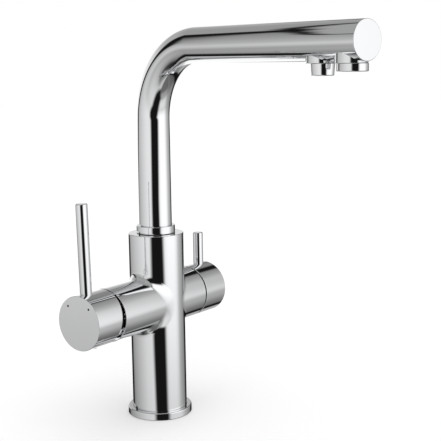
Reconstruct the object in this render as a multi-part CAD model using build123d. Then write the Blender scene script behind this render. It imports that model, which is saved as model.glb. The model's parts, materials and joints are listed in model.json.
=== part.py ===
"""Three way filtered water tap for a kitchen sink.

A single hole tap with an L shaped swivel spout. The lever on the left works
the hot and cold mixer, the short lever on the right opens the filtered water.
Filtered water runs up a tube of its own inside the spout to the small outlet.

Frame: the origin is the centre of the foot on the deck, +Z up. The two levers
turn about an axis along X, with the mixer towards -X and the filter valve
towards +X. Straight ahead is -Y, and the spout rests swung a little from it.
All sizes are in millimetres.
"""
from build123d import *
import math
import os

# ---------------------------------------------------------------- fits
running_fit = 0.05          # radial play of a piece that turns in another
easy_fit = 0.15             # play beside a piece that tilts in a slot
edge_break = 0.5            # small rounding of outer edges
overshoot = 1.0             # how far a cut runs past the piece that it cuts

# ---------------------------------------------------------------- body casting
column_radius = 23.75
column_wall = 4.0
branch_step = 1.25          # how much slimmer the branches are than the column
branch_blend = 6.0          # fillet where the branches leave the column
lever_axis_height = 100.5
neck_height = 60.0          # column above the lever axis

# ---------------------------------------------------------------- foot and flange
flange_overhang = 4.25
flange_height = 6.3
flange_ledge = 3.0          # thickness of the ledge that the foot presses down
foot_step = 2.75            # how far the foot is turned down inside the flange
flange_edge = 1.0
seal_gap = 1.0              # from the foot's bore in the flange to the seal
seal_width = 2.0
seal_height = 1.6
shank_thread_radius = 15.7  # core of the thread for the fixing shank
shank_thread_length = 12.0
cavity_height = 66.0        # ceiling of the hollow that the hoses come up

# ---------------------------------------------------------------- hose inlets
inlet_offset = 8.7          # inlet axes from the column's axis
inlet_thread_radius = 4.5
inlet_socket_length = 12.0
inlet_thread_length = 10.0
inlet_hex_radius = 7.0      # across the corners of the hexagon, halved
inlet_neck_radius = 5.5
inlet_neck_length = 6.0
waterway_radius = 3.5
inlet_angles = {"filter_inlet": 0.0, "hot_inlet": 120.0, "cold_inlet": 240.0}

# ---------------------------------------------------------------- mixer cartridge
cartridge_seat = 28.0       # seat face in the branch, from the column's axis
cartridge_radius = 17.5
cartridge_length = 26.0     # from the seat to the shoulder under the nut
cartridge_base = 4.0
cartridge_seal_height = 0.8
port_seal_width = 1.2
port_radius = 3.5
port_drop = 3.0             # hot and cold ports below the lever axis
outlet_port_rise = 10.0     # mixed water port above the lever axis
neck_wall = 2.9
neck_length = 4.5
nut_thread_radius = 19.0
nut_length = 7.0
nut_recess = 4.5            # face of the nut inside the rim of the branch
nut_play = 0.5              # from the cartridge neck to the nut's bore
nut_slot_width = 4.0
nut_slot_depth = 2.5
carrier_radius = 9.5
carrier_flange_radius = 12.0
carrier_flange = 2.0
carrier_recess = 0.5        # carrier's end inside the end of the cartridge neck
pivot_depth = 4.0           # tilt pin inside the cartridge's shoulder
tilt_pin_radius = 1.5
stem_size = 8.0             # square stem
stem_reach = 34.0           # from the tilt pin to the stem's outer end
stem_leg = 12.0             # from the tilt pin to the leg's inner end
stem_leg_size = 5.0
lift_angle = 25.0           # full lift of the mixer lever
disc_height = 4.0
fixed_disc_radius = 14.0
sliding_disc_radius = 11.0
cover_clear = 1.24          # domed cover ring to the inner edge of the knob's rim
cover_thickness = 1.2
cover_opening_radius = 16.4

# ---------------------------------------------------------------- mixer knob and lever
mixer_knob_length = 32.0    # face of the knob from the rim of its branch
mixer_knob_wall = 2.0
knob_face_thickness = 3.0
rim_gap = 1.2               # gap to the branch at the top of the knob
rim_rake = 7.6              # lean of the knob's rim, which opens the gap below
mixer_boss_radius = 8.5
mixer_boss_clear = 1.4      # boss end to the sphere of the cover ring
lever_inset = 9.5           # lever axes from the knobs' faces
mixer_lever_radius = 4.8
mixer_lever_length = 73.7   # above the knob
mixer_lever_lean = 1.3      # degrees, outwards
lever_root = 5.5            # how deep a lever sits in its knob
lever_stud_radius = 3.0
lever_stud_clear = 1.0      # from the mixer lever's stud to the stem's flat
lever_tip_round = 1.0
knob_screw_inset = 16.5     # grub screw under the mixer knob, from its face
knob_screw_radius = 2.5
knob_screw_length = 6.0
screw_plug_radius = 2.6
screw_plug_proud = 1.5
index_dot_radius = 0.8
index_dot_depth = 0.6
index_dot_circle = 17.4
index_dot_angle = 49.5      # above the horizontal, on both sides

# ---------------------------------------------------------------- filter valve, knob and lever
valve_seat = 18.0           # seat face in the branch, from the column's axis
valve_radius = 8.6
valve_chamber_radius = 9.6
valve_thread_radius = 10.4
valve_barrel_length = 12.0  # from the seat to the thread
valve_thread_length = 7.0
valve_hex_length = 9.0
valve_hex_sink = 3.6        # how far the hexagon is let into the branch
valve_hex_radius = 12.6     # across the corners, halved
valve_neck_length = 3.0
valve_wall = 1.6
valve_window_radius = 2.5
valve_seal_height = 0.6
valve_disc_height = 2.2
valve_disc_rim = 1.2
valve_disc_hub = 1.5
valve_counterbore_play = 1.0
spindle_radius = 4.0
spindle_flat = 3.3          # the two flats that drive the knob, from the axis
spindle_collar = 2.0
spindle_collar_room = 3.0   # chamber left beyond the spindle's collar
filter_knob_length = 28.9   # face of the knob from the rim of its branch
filter_knob_wall = 2.5
filter_knob_gap = 0.8
filter_boss_radius = 8.0
filter_boss_clear = 1.2
filter_spindle_reach = 7.5  # spindle's end from the knob's face
filter_lever_radius = 4.45
filter_lever_length = 29.0
filter_lever_inset = 10.8

# ---------------------------------------------------------------- spout
spout_swing = 13.5          # degrees that the spout rests towards the mixer
tube_radius = 14.0
tube_wall = 1.5
spout_height = 319.0        # axis of the arm above the deck
spout_reach = 241.5         # end of the arm from the column's axis
bend_radius = 61.0
end_cap_thickness = 1.5
end_plug_clear = 0.4        # plug of the end cap to the thread of the main outlet
collar_overhang = 2.6
collar_height = 6.3
collar_ledge = 1.6
glide_ring_height = 0.4
spigot_step = 2.0           # how much slimmer the spigot is than the tube
spigot_wall = 3.5
spigot_depth = 32.5         # below the top of the body
spigot_plug_length = 12.5
o_ring_thickness = 2.2
o_ring_side_play = 0.1
o_ring_depths = (5.5, 24.5)  # centres of the O rings below the top of the body
swivel_range = 120.0        # to each side of straight ahead
stop_groove_depth = 1.5
stop_groove_width = 4.0
stop_screw_depth = 12.5     # axis of the stop screw below the top of the body
stop_screw_radius = 2.5
stop_screw_tip_radius = 1.5
stop_screw_shoulder = 1.0   # thickest part of the stop screw to the spigot
stop_screw_sink = 1.5       # stop screw's head below the column's surface
stop_screw_socket = 3.0
stop_angle_play = 1.0       # degrees past each end of the swivel
chamber_depth = 38.5        # floor of the mixed water chamber below the top
riser_offset = 9.0          # mixed water riser from the column's axis
riser_radius = 3.0

# ---------------------------------------------------------------- outlets
main_outlet_inset = 13.3    # outlet's axis from the end of the arm
main_boss_radius = 11.5
main_boss_shift = 1.2       # boss centre nearer the column than its outlet
main_outlet_radius = 10.9
main_outlet_length = 5.5
main_thread_radius = 9.4
outlet_spacing = 27.9
filter_boss_radius = 10.0
filter_boss_shift = 2.6
filter_outlet_radius = 8.6
filter_outlet_length = 8.4
filter_thread_radius = 7.0
boss_proud = 1.2            # underside of both bosses below the tube
thread_engagement = 4.6
aerator_wall = 1.7
aerator_lip = 1.0
aerator_insert_height = 7.5
aerator_screen_depth = 2.75  # hollow above the ribs, where the screens lie
aerator_rib_pitch = 3.0
aerator_rib_width = 0.9
nozzle_taper = 0.6
nozzle_wall = 1.9
nozzle_insert_height = 5.0
nozzle_hole_radius = 0.9
nozzle_hole_circle = 3.7
outlet_edge = 0.8

# ---------------------------------------------------------------- filtered water tube
filter_tube_radius = 4.0
filter_tube_wall = 1.0
filter_tube_socket = 9.0    # below the chamber's floor
filter_elbow_radius = 9.0

# ---------------------------------------------------------------- worked out sizes
body_top = lever_axis_height + neck_height
branch_radius = column_radius - branch_step
knob_radius = branch_radius
flange_radius = column_radius + flange_overhang
foot_radius = column_radius - foot_step
cavity_radius = column_radius - column_wall
cartridge_shoulder = cartridge_seat + cartridge_length
mixer_rim = cartridge_shoulder + nut_length + nut_recess
mixer_face = mixer_rim + mixer_knob_length
pivot_reach = cartridge_shoulder - pivot_depth
pivot_point = (-pivot_reach, 0.0, lever_axis_height)
knob_rim_inner = knob_radius - mixer_knob_wall
cover_sphere_radius = math.hypot(mixer_rim + rim_gap - pivot_reach, knob_rim_inner) - cover_clear
mixer_lever_reach = mixer_face - lever_inset
mixer_boss_start = pivot_reach + cover_sphere_radius + mixer_boss_clear
valve_thread_start = valve_seat + valve_barrel_length
valve_hex_start = valve_thread_start + valve_thread_length
valve_end = valve_hex_start + valve_hex_length + valve_neck_length
filter_rim = valve_hex_start + valve_hex_sink
filter_face = filter_rim + filter_knob_length
filter_lever_reach = filter_face - filter_lever_inset
glide_top = body_top + glide_ring_height
collar_top = glide_top + collar_height
tube_foot = glide_top + collar_ledge
tube_bore = tube_radius - tube_wall
collar_radius = tube_radius + collar_overhang
spigot_radius = tube_radius - spigot_step
spigot_bore = spigot_radius - spigot_wall
spigot_end = body_top - spigot_depth
chamber_floor = body_top - chamber_depth
stop_screw_height = body_top - stop_screw_depth
boss_low = spout_height - tube_radius - boss_proud
main_outlet_reach = spout_reach - main_outlet_inset
main_outlet_low = boss_low - main_outlet_length
filter_outlet_reach = main_outlet_reach - outlet_spacing
filter_outlet_low = boss_low - filter_outlet_length
end_plug_length = main_outlet_inset - main_thread_radius - end_plug_clear - end_cap_thickness

MIN = (Align.CENTER, Align.CENTER, Align.MIN)


# ---------------------------------------------------------------- shapes used often
def upright(radius, low, high, x=0.0, y=0.0):
    """A round bar along Z from one height to another."""
    return Pos(x, y, low) * Cylinder(radius, high - low, align=MIN)


def upright_ring(outer, inner, low, high, x=0.0, y=0.0):
    return upright(outer, low, high, x, y) - upright(inner, low, high, x, y)


def crosswise(radius, start, end, y=0.0, z=lever_axis_height):
    """A round bar along X, from one distance to another."""
    return Pos(start, y, z) * Rot(0, 90, 0) * Cylinder(radius, end - start, align=MIN)


def crosswise_ring(outer, inner, start, end, y=0.0, z=lever_axis_height):
    return crosswise(outer, start, end, y, z) - crosswise(inner, start, end, y, z)


def sideways(radius, low, high, x, z):
    """A round bar along Y."""
    return Pos(x, high, z) * Rot(90, 0, 0) * Cylinder(radius, high - low, align=MIN)


def block(low, high):
    """A box between two corners."""
    size = [b - a for a, b in zip(low, high)]
    middle = [(a + b) / 2 for a, b in zip(low, high)]
    return Pos(*middle) * Box(*size)


def lever_hexagon(corner_radius, start, end):
    prism = extrude(RegularPolygon(corner_radius, 6), end - start)
    return Pos(start, 0, lever_axis_height) * Rot(0, 90, 0) * prism


def rounded_end(solid, axis, amount, last=True):
    """Rounds the outermost circle at one end of a turned piece."""
    rims = solid.edges().filter_by(GeomType.CIRCLE).group_by(axis)[-1 if last else 0]
    return fillet(rims.sort_by(SortBy.RADIUS)[-1], amount)


def swung(solid):
    """Turns a spout piece from straight ahead to where the spout rests."""
    return Rot(0, 0, -spout_swing) * solid


def round_positions(radius, angles):
    return [(radius * math.cos(math.radians(a)), radius * math.sin(math.radians(a))) for a in angles]


inlet_places = dict(zip(inlet_angles, round_positions(inlet_offset, inlet_angles.values())))


# ---------------------------------------------------------------- body casting
def body_shell():
    """The column with its two branches, blended where they meet."""
    column = upright(column_radius, 0, body_top)
    branches = crosswise(branch_radius, -mixer_rim, filter_rim)
    shell = column + branches
    joints = [e for e in shell.edges() if e.geom_type not in (GeomType.CIRCLE, GeomType.LINE)]
    return fillet(joints, branch_blend)


def body_waterways():
    """Bores for the water, from the inlets to the cartridge, the valve and the spout."""
    way = waterway_radius
    seat = -cartridge_seat
    bores = []
    for name in ("hot_inlet", "cold_inlet"):
        x, y = inlet_places[name]
        port_height = lever_axis_height - port_drop
        bores.append(upright(way, cavity_height, port_height, x, y))
        bores.append(crosswise(way, seat, x + way / 2, y, port_height))
    outlet_height = lever_axis_height + outlet_port_rise
    bores.append(crosswise(way, seat, -riser_offset + riser_radius, 0, outlet_height))
    bores.append(upright(riser_radius, outlet_height, chamber_floor, -riser_offset))
    x, y = inlet_places["filter_inlet"]
    bores.append(upright(way, cavity_height, lever_axis_height, x, y))
    bores.append(crosswise(way, x - way / 2, valve_seat))
    tube_socket_floor = chamber_floor - filter_tube_socket
    cross_height = tube_socket_floor - waterway_radius / 2
    chamber_middle = valve_seat + (valve_thread_start - valve_seat) / 3
    bores.append(upright(riser_radius, lever_axis_height, cross_height, chamber_middle))
    bores.append(crosswise(riser_radius, 0, chamber_middle, 0, cross_height))
    bores.append(upright(riser_radius, cross_height, tube_socket_floor))
    bores.append(upright(filter_tube_radius + running_fit, tube_socket_floor, chamber_floor))
    return bores


def tap_body():
    """The cast body with its foot, seats and waterways bored out."""
    body = body_shell()
    body -= upright_ring(column_radius + overshoot, foot_radius, -overshoot, flange_ledge)
    body -= upright(shank_thread_radius, 0, shank_thread_length)
    body -= upright(cavity_radius, shank_thread_length, cavity_height)
    for x, y in inlet_places.values():
        body -= upright(inlet_neck_radius, cavity_height, cavity_height + inlet_neck_length, x, y)
    for bore in body_waterways():
        body -= bore
    # seats of the cartridge and of the filter valve
    body -= crosswise(cartridge_radius, -mixer_rim, -cartridge_seat)
    body -= crosswise(nut_thread_radius, -mixer_rim, -cartridge_shoulder)
    body -= crosswise(valve_chamber_radius, valve_seat, valve_thread_start)
    body -= crosswise(valve_thread_radius, valve_thread_start, valve_hex_start)
    body -= crosswise(valve_hex_radius + valve_counterbore_play, valve_hex_start, filter_rim)
    # socket of the spout, the mixed water chamber under it and the stop screw's hole
    body -= upright(spigot_radius + running_fit, chamber_floor, body_top)
    screw_hole = stop_screw_radius + running_fit
    body -= sideways(screw_hole, spigot_radius - overshoot, column_radius + overshoot, 0, stop_screw_height)
    return rounded_end(body, Axis.Z, edge_break)


def base_flange():
    """Ring that covers the hole in the deck and that the foot presses down."""
    ring = upright(flange_radius, 0, flange_height)
    ring = rounded_end(ring, Axis.Z, flange_edge)
    ring -= upright(column_radius, flange_ledge, flange_height)
    ring -= upright(foot_radius, 0, flange_ledge)
    return ring - base_seal()


def base_seal():
    inner = foot_radius + seal_gap
    return upright_ring(inner + seal_width, inner, 0, seal_height)


def hose_inlet(name):
    """A hexagonal brass socket that a supply hose screws into from below."""
    x, y = inlet_places[name]
    low = cavity_height - inlet_socket_length
    socket = Pos(x, y, low) * extrude(RegularPolygon(inlet_hex_radius, 6), inlet_socket_length)
    socket += upright(inlet_neck_radius, cavity_height, cavity_height + inlet_neck_length, x, y)
    socket -= upright(inlet_thread_radius, low, low + inlet_thread_length, x, y)
    return socket - upright(waterway_radius, low, cavity_height + inlet_neck_length, x, y)


# ---------------------------------------------------------------- mixer cartridge
def cartridge_ports(start, end, radius):
    """Bars through the hot, cold and mixed water ports."""
    bars = []
    for name in ("hot_inlet", "cold_inlet"):
        y = inlet_places[name][1]
        bars.append(crosswise(radius, start, end, y, lever_axis_height - port_drop))
    bars.append(crosswise(radius, start, end, 0, lever_axis_height + outlet_port_rise))
    return bars


def cartridge_housing():
    """Plastic cup round the discs, with a neck that the carrier turns in."""
    base = cartridge_seat + cartridge_seal_height
    neck_end = cartridge_shoulder + neck_length
    neck_bore = carrier_radius + running_fit
    cavity_start = base + cartridge_base
    cavity_end = carrier_inner_end() + carrier_flange + running_fit
    housing = crosswise(cartridge_radius, -cartridge_shoulder, -base)
    housing += crosswise(neck_bore + neck_wall, -neck_end, -cartridge_shoulder)
    housing -= crosswise(fixed_disc_radius, -cavity_end, -cavity_start)
    housing -= crosswise(neck_bore, -neck_end, -cavity_end)
    for bar in cartridge_ports(-cavity_start, -base, port_radius):
        housing -= bar
    return housing


def cartridge_seals():
    """Three rings round the ports under the cartridge."""
    start = -cartridge_seat - cartridge_seal_height
    outer = cartridge_ports(start, -cartridge_seat, port_radius + port_seal_width)
    inner = cartridge_ports(start, -cartridge_seat, port_radius)
    return Compound([a - b for a, b in zip(outer, inner)])


def disc_start():
    return cartridge_seat + cartridge_seal_height + cartridge_base


def carrier_inner_end():
    return disc_start() + 2 * disc_height


def fixed_disc():
    """Ceramic disc with the three ports."""
    start = disc_start()
    disc = crosswise(fixed_disc_radius, -start - disc_height, -start)
    for bar in cartridge_ports(-start - disc_height, -start, port_radius):
        disc -= bar
    return disc


def tilted(solid, angle):
    """Turns a piece about the tilt pin, lever outwards and down."""
    return Pos(*pivot_point) * Rot(0, -angle, 0) * Pos(*[-c for c in pivot_point]) * solid


def stem_solid(size, reach, leg_size, leg):
    """The square stem outside the tilt pin and its leg inside it."""
    half = size / 2
    low = (-pivot_reach - reach, -half, lever_axis_height - half)
    high = (-pivot_reach + half, half, lever_axis_height + half)
    stem = block(low, high)
    half = leg_size / 2
    low = (-pivot_reach, -half, lever_axis_height - half)
    high = (-pivot_reach + leg, half, lever_axis_height + half)
    return stem + block(low, high)


def stem_sweep():
    """Room for the stem and its leg over the whole lift."""
    play = 2 * easy_fit
    grown = stem_solid(stem_size + play, stem_reach, stem_leg_size + play, stem_leg + easy_fit)
    room = grown
    steps = 5
    for step in range(1, steps + 1):
        room += tilted(grown, lift_angle * step / steps)
    return room


def sliding_disc():
    """Ceramic disc that covers the ports, with room for the stem's leg."""
    start = disc_start() + disc_height
    return crosswise(sliding_disc_radius, -start - disc_height, -start) - stem_sweep()


def stem_carrier():
    """The hub that turns in the cartridge's neck and holds the tilt pin."""
    inner = carrier_inner_end()
    outer = cartridge_shoulder + neck_length - carrier_recess
    hub = crosswise(carrier_radius, -outer, -inner)
    hub += crosswise(carrier_flange_radius, -inner - carrier_flange, -inner)
    hub -= stem_sweep()
    return hub - tilt_pin()


def tilt_pin():
    half = math.sqrt(carrier_radius ** 2 - tilt_pin_radius ** 2) - 2 * running_fit
    return sideways(tilt_pin_radius, -half, half, -pivot_reach, lever_axis_height)


def mixer_stem():
    stem = stem_solid(stem_size, stem_reach, stem_leg_size, stem_leg)
    half = stem_size / 2
    bore = sideways(tilt_pin_radius + running_fit, -half, half, -pivot_reach, lever_axis_height)
    return stem - bore


def cartridge_nut():
    """Round nut with slots for a pin spanner."""
    start = cartridge_shoulder
    end = start + nut_length
    bore = carrier_radius + running_fit + neck_wall + nut_play
    nut = crosswise_ring(nut_thread_radius, bore, -end, -start)
    middle = (bore + nut_thread_radius - cover_thickness) / 2
    for x, y in round_positions(middle, (0, 90, 180, 270)):
        slot = Pos(-end, y, lever_axis_height + x) * Box(2 * nut_slot_depth, nut_slot_width, nut_slot_width)
        nut -= slot
    return nut


def cartridge_cover():
    """Ring that hides the nut, rounded about the tilt pin so that the knob clears it."""
    start = cartridge_shoulder + nut_length
    outer = cover_sphere_radius
    centre = Pos(*pivot_point)
    dome = centre * Sphere(outer) - centre * Sphere(outer - cover_thickness)
    dome -= crosswise(2 * outer, -mixer_rim, outer)
    dome -= crosswise(cover_opening_radius, -mixer_rim - outer, -start)
    foot_radius_out = nut_thread_radius - running_fit
    foot = crosswise_ring(foot_radius_out, foot_radius_out - 2 * cover_thickness, -mixer_rim, -start)
    return foot + dome


# ---------------------------------------------------------------- mixer knob and lever
def mixer_lever_turn(solid):
    """Leans the lever outwards about the point where it enters the knob."""
    base = (-mixer_lever_reach, 0.0, lever_axis_height + knob_radius)
    return Pos(*base) * Rot(0, -mixer_lever_lean, 0) * Pos(*[-c for c in base]) * solid


def mixer_lever():
    seat = lever_axis_height + knob_radius - lever_root
    top = lever_axis_height + knob_radius + mixer_lever_length
    rod = upright(mixer_lever_radius, seat, top, -mixer_lever_reach)
    rod = rounded_end(rod, Axis.Z, lever_tip_round)
    stud_end = lever_axis_height + stem_size / 2 + lever_stud_clear
    rod += upright(lever_stud_radius, stud_end, seat, -mixer_lever_reach)
    return mixer_lever_turn(rod)


def mixer_knob():
    """Drum with a boss for the square stem and a socket for the lever."""
    rim = mixer_rim + rim_gap
    knob = crosswise(knob_radius, -mixer_face, -mixer_rim)
    knob = rounded_end(knob, Axis.X, edge_break, last=False)
    knob -= crosswise(knob_rim_inner, -mixer_face + knob_face_thickness, -mixer_rim)
    knob += crosswise(mixer_boss_radius, -mixer_face + knob_face_thickness, -mixer_boss_start)
    # the raked rim leaves room under the knob for the lift
    reach = 4 * knob_radius
    cutter = block((0, -reach, -reach), (reach, reach, reach))
    knob -= Pos(-rim, 0, lever_axis_height + knob_radius) * Rot(0, rim_rake, 0) * cutter
    half = stem_size / 2
    stem_end = pivot_reach + stem_reach
    low = (-stem_end, -half, lever_axis_height - half)
    high = (-mixer_boss_start, half, lever_axis_height + half)
    knob -= block(low, high)
    knob -= mixer_lever()
    x = -(mixer_face - knob_screw_inset)
    screw_low = lever_axis_height - mixer_boss_radius - overshoot
    knob -= upright(knob_screw_radius, screw_low, lever_axis_height, x)
    wall_low = lever_axis_height - knob_radius
    knob -= upright(screw_plug_radius, wall_low - overshoot, wall_low + mixer_knob_wall + overshoot, x)
    return knob - index_dots()


def knob_screw(x, grip):
    """Grub screw with a hexagon socket, pointing up at what it clamps."""
    top = lever_axis_height - grip
    low = top - knob_screw_length
    screw = upright(knob_screw_radius, low, top, x)
    socket = Pos(x, 0, low) * extrude(RegularPolygon(knob_screw_radius / 2, 6), knob_screw_length / 2)
    return screw - socket


def mixer_knob_screw():
    return knob_screw(-(mixer_face - knob_screw_inset), stem_size / 2)


def screw_plug():
    """Push-in plug that closes the screw's hole and stands a little proud of the knob."""
    x = -(mixer_face - knob_screw_inset)
    low = lever_axis_height - knob_radius - screw_plug_proud
    plug = upright(screw_plug_radius, low, lever_axis_height - knob_radius + mixer_knob_wall, x)
    return rounded_end(plug, Axis.Z, edge_break, last=False)


def index_dots():
    """Two small inlays in the face, for hot and for cold."""
    rise = index_dot_circle * math.sin(math.radians(index_dot_angle))
    side = index_dot_circle * math.cos(math.radians(index_dot_angle))
    start = -mixer_face
    height = lever_axis_height + rise
    end = start + index_dot_depth
    return Compound([crosswise(index_dot_radius, start, end, y, height) for y in (-side, side)])


# ---------------------------------------------------------------- filter valve, knob and lever
def filter_valve():
    """Brass headwork that screws into the branch, with its spindle bore."""
    start = valve_seat + valve_seal_height
    valve = crosswise(valve_radius, start, valve_hex_start)
    valve += crosswise(valve_thread_radius, valve_thread_start, valve_hex_start)
    valve += lever_hexagon(valve_hex_radius, valve_hex_start, valve_hex_start + valve_hex_length)
    neck = spindle_radius + running_fit + valve_wall
    valve += crosswise(neck, valve_hex_start, valve_end)
    chamber = valve_radius - valve_wall
    valve -= crosswise(chamber, start, valve_chamber_end())
    valve -= crosswise(spindle_radius + running_fit, start, valve_end)
    middle = (start + 2 * valve_disc_height + valve_chamber_end()) / 2
    valve -= sideways(valve_window_radius, -valve_radius, valve_radius, middle, lever_axis_height)
    return valve


def valve_discs_start():
    return valve_seat + valve_seal_height


def valve_chamber_end():
    return valve_discs_start() + 2 * valve_disc_height + spindle_collar + spindle_collar_room


def valve_seal():
    inner = valve_radius - valve_wall - valve_disc_rim
    return crosswise_ring(valve_radius, inner, valve_seat, valve_seat + valve_seal_height)


def quadrant_disc(start, gap):
    """A ceramic disc with two quarter openings."""
    radius = valve_radius - valve_wall - gap
    disc = crosswise(radius, start, start + valve_disc_height)
    for side in (-1, 1):
        low = (start, min(0, side * radius), lever_axis_height + min(0, side * radius))
        high = (start + valve_disc_height, max(0, side * radius), lever_axis_height + max(0, side * radius))
        quarter = crosswise_ring(radius - valve_disc_rim, valve_disc_hub, start, start + valve_disc_height)
        disc -= quarter & block(low, high)
    return disc


def valve_fixed_disc():
    return quadrant_disc(valve_discs_start(), 0)


def valve_turning_disc():
    """The disc that the spindle turns; closed when a quarter turn from the other."""
    disc = quadrant_disc(valve_discs_start() + valve_disc_height, running_fit)
    about_axis = Pos(0, 0, lever_axis_height) * Rot(90, 0, 0) * Pos(0, 0, -lever_axis_height)
    return about_axis * disc


def filter_spindle():
    """Turns the outer disc; two flats drive the knob."""
    start = valve_discs_start() + 2 * valve_disc_height
    end = filter_face - filter_spindle_reach
    collar = valve_radius - valve_wall - running_fit
    spindle = crosswise(collar, start, start + spindle_collar)
    spindle += crosswise(spindle_radius, start + spindle_collar, end)
    return spindle - spindle_flats(end)


def spindle_flats(end):
    """What is cut off the two sides of the spindle inside the knob."""
    start = valve_end + filter_boss_clear
    flats = None
    for side in (-1, 1):
        near = side * spindle_flat
        far = side * (spindle_radius + overshoot)
        low = (start, min(near, far), lever_axis_height - spindle_radius - overshoot)
        high = (end, max(near, far), lever_axis_height + spindle_radius + overshoot)
        flat = block(low, high)
        flats = flat if flats is None else flats + flat
    return flats


def filter_lever():
    seat = lever_axis_height + knob_radius - lever_root
    top = lever_axis_height + knob_radius + filter_lever_length
    rod = upright(filter_lever_radius, seat, top, filter_lever_reach)
    rod = rounded_end(rod, Axis.Z, lever_tip_round)
    stud_end = lever_axis_height + spindle_radius
    return rod + upright(lever_stud_radius, stud_end, seat, filter_lever_reach)


def filter_knob():
    """Drum with a boss for the spindle and a socket for the lever."""
    rim = filter_rim + filter_knob_gap
    inner = knob_radius - filter_knob_wall
    plate = filter_face - knob_face_thickness
    knob = crosswise(knob_radius, rim, filter_face)
    knob = rounded_end(knob, Axis.X, edge_break)
    knob -= crosswise(inner, rim, plate)
    boss_start = valve_end + filter_boss_clear
    knob += crosswise(filter_boss_radius, boss_start, plate)
    end = filter_face - filter_spindle_reach
    knob -= crosswise(spindle_radius, boss_start, end) - spindle_flats(end)
    low = lever_axis_height - knob_radius - overshoot
    knob -= upright(knob_screw_radius, low, lever_axis_height, filter_lever_reach)
    return knob - filter_lever()


def filter_knob_screw():
    return knob_screw(filter_lever_reach, spindle_radius)


# ---------------------------------------------------------------- spout
def arm_section(radius):
    """A disc that the spout's path is swept through, at the foot of the tube."""
    return Pos(0, 0, tube_foot) * Circle(radius)


def spout_path():
    """Up the column, round the bend and out along the arm, straight ahead."""
    corner = Vector(0, 0, spout_height)
    end = Vector(0, -spout_reach + end_cap_thickness, spout_height)
    return FilletPolyline((0, 0, tube_foot), corner, end, radius=bend_radius)


def outlet_hole(reach, radius):
    return upright(radius, boss_low, spout_height, 0, -reach)


def spout_tube():
    """The bent tube, open below where the outlets screw in."""
    path = spout_path()
    tube = sweep(arm_section(tube_radius), path) - sweep(arm_section(tube_bore), path)
    tube -= outlet_hole(main_outlet_reach, main_thread_radius)
    tube -= outlet_hole(filter_outlet_reach, filter_thread_radius)
    return swung(tube)


def along_arm(radius, start, end):
    """A round bar along the arm's axis, straight ahead."""
    return sideways(radius, -end, -start, 0, spout_height)


def spout_end_cap():
    """Flat cap over the end of the arm, with a plug inside the tube."""
    start = spout_reach - end_cap_thickness
    cap = along_arm(tube_radius, start, spout_reach)
    cap = rounded_end(cap, Axis.Y, edge_break, last=False)
    return swung(cap + along_arm(tube_bore, start - end_plug_length, start))


def spout_collar():
    ring = upright(collar_radius, glide_top, collar_top)
    ring = rounded_end(ring, Axis.Z, edge_break)
    ring -= upright(tube_radius, tube_foot, collar_top)
    return ring - upright(spigot_radius + running_fit, glide_top, tube_foot)


def glide_ring():
    """Thin slip washer that the spout turns on."""
    return upright_ring(collar_radius - edge_break, spigot_radius + 4 * running_fit, body_top, glide_top)


def spout_spigot():
    """Turned foot of the spout, with grooves for the O rings and the stop screw."""
    spigot = upright(spigot_radius, spigot_end, tube_foot)
    spigot += upright(tube_bore, tube_foot, tube_foot + spigot_plug_length)
    spigot -= upright(spigot_bore, spigot_end, tube_foot + spigot_plug_length)
    for depth in o_ring_depths:
        middle = body_top - depth
        half = o_ring_thickness / 2 + o_ring_side_play
        floor = spigot_radius - o_ring_thickness
        spigot -= upright_ring(spigot_radius + overshoot, floor, middle - half, middle + half)
    return swung(spigot - stop_groove())


def stop_groove():
    """A groove round the back of the spigot, whose ends stop the swivel."""
    floor = spigot_radius - stop_groove_depth
    tip = math.degrees(math.asin(stop_screw_tip_radius / floor)) + stop_angle_play
    sweep_angle = 2 * (swivel_range + tip)
    depth = stop_groove_depth + overshoot
    profile = Plane.XZ * Pos(floor + depth / 2, stop_screw_height) * Rectangle(depth, stop_groove_width)
    ring = revolve(profile, Axis.Z, sweep_angle)
    return Rot(0, 0, 90 - sweep_angle / 2) * ring


def spigot_o_rings():
    minor = o_ring_thickness / 2
    major = spigot_radius - o_ring_thickness + minor
    rings = [Pos(0, 0, body_top - depth) * Torus(major, minor - running_fit) for depth in o_ring_depths]
    return Compound([swung(ring) for ring in rings])


def stop_screw():
    """Grub screw from the back of the body, whose tip runs in the spigot's groove."""
    z = stop_screw_height
    shoulder = spigot_radius + stop_screw_shoulder
    outer_end = column_radius - stop_screw_sink
    screw = sideways(stop_screw_radius, shoulder, outer_end, 0, z)
    tip_end = spigot_radius - stop_groove_depth + 4 * running_fit
    screw += sideways(stop_screw_tip_radius, tip_end, shoulder, 0, z)
    hexagon = extrude(RegularPolygon(stop_screw_radius / 2, 6), stop_screw_socket)
    return screw - Pos(0, outer_end, z) * Rot(90, 0, 0) * hexagon


# ---------------------------------------------------------------- outlets
def arm_bar():
    """The outside of the arm, to fit the bosses against."""
    return along_arm(tube_radius, 0, spout_reach)


def outlet_boss(reach, shift, outer, bore):
    """A short stub under the arm, saddled to the tube."""
    stub = upright(outer, boss_low, spout_height, 0, -(reach - shift))
    stub = rounded_end(stub, Axis.Z, edge_break, last=False)
    return swung(stub - arm_bar() - outlet_hole(reach, bore))


def main_outlet_boss():
    return outlet_boss(main_outlet_reach, main_boss_shift, main_boss_radius, main_thread_radius)


def filter_outlet_boss():
    return outlet_boss(filter_outlet_reach, filter_boss_shift, filter_boss_radius, filter_thread_radius)


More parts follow.
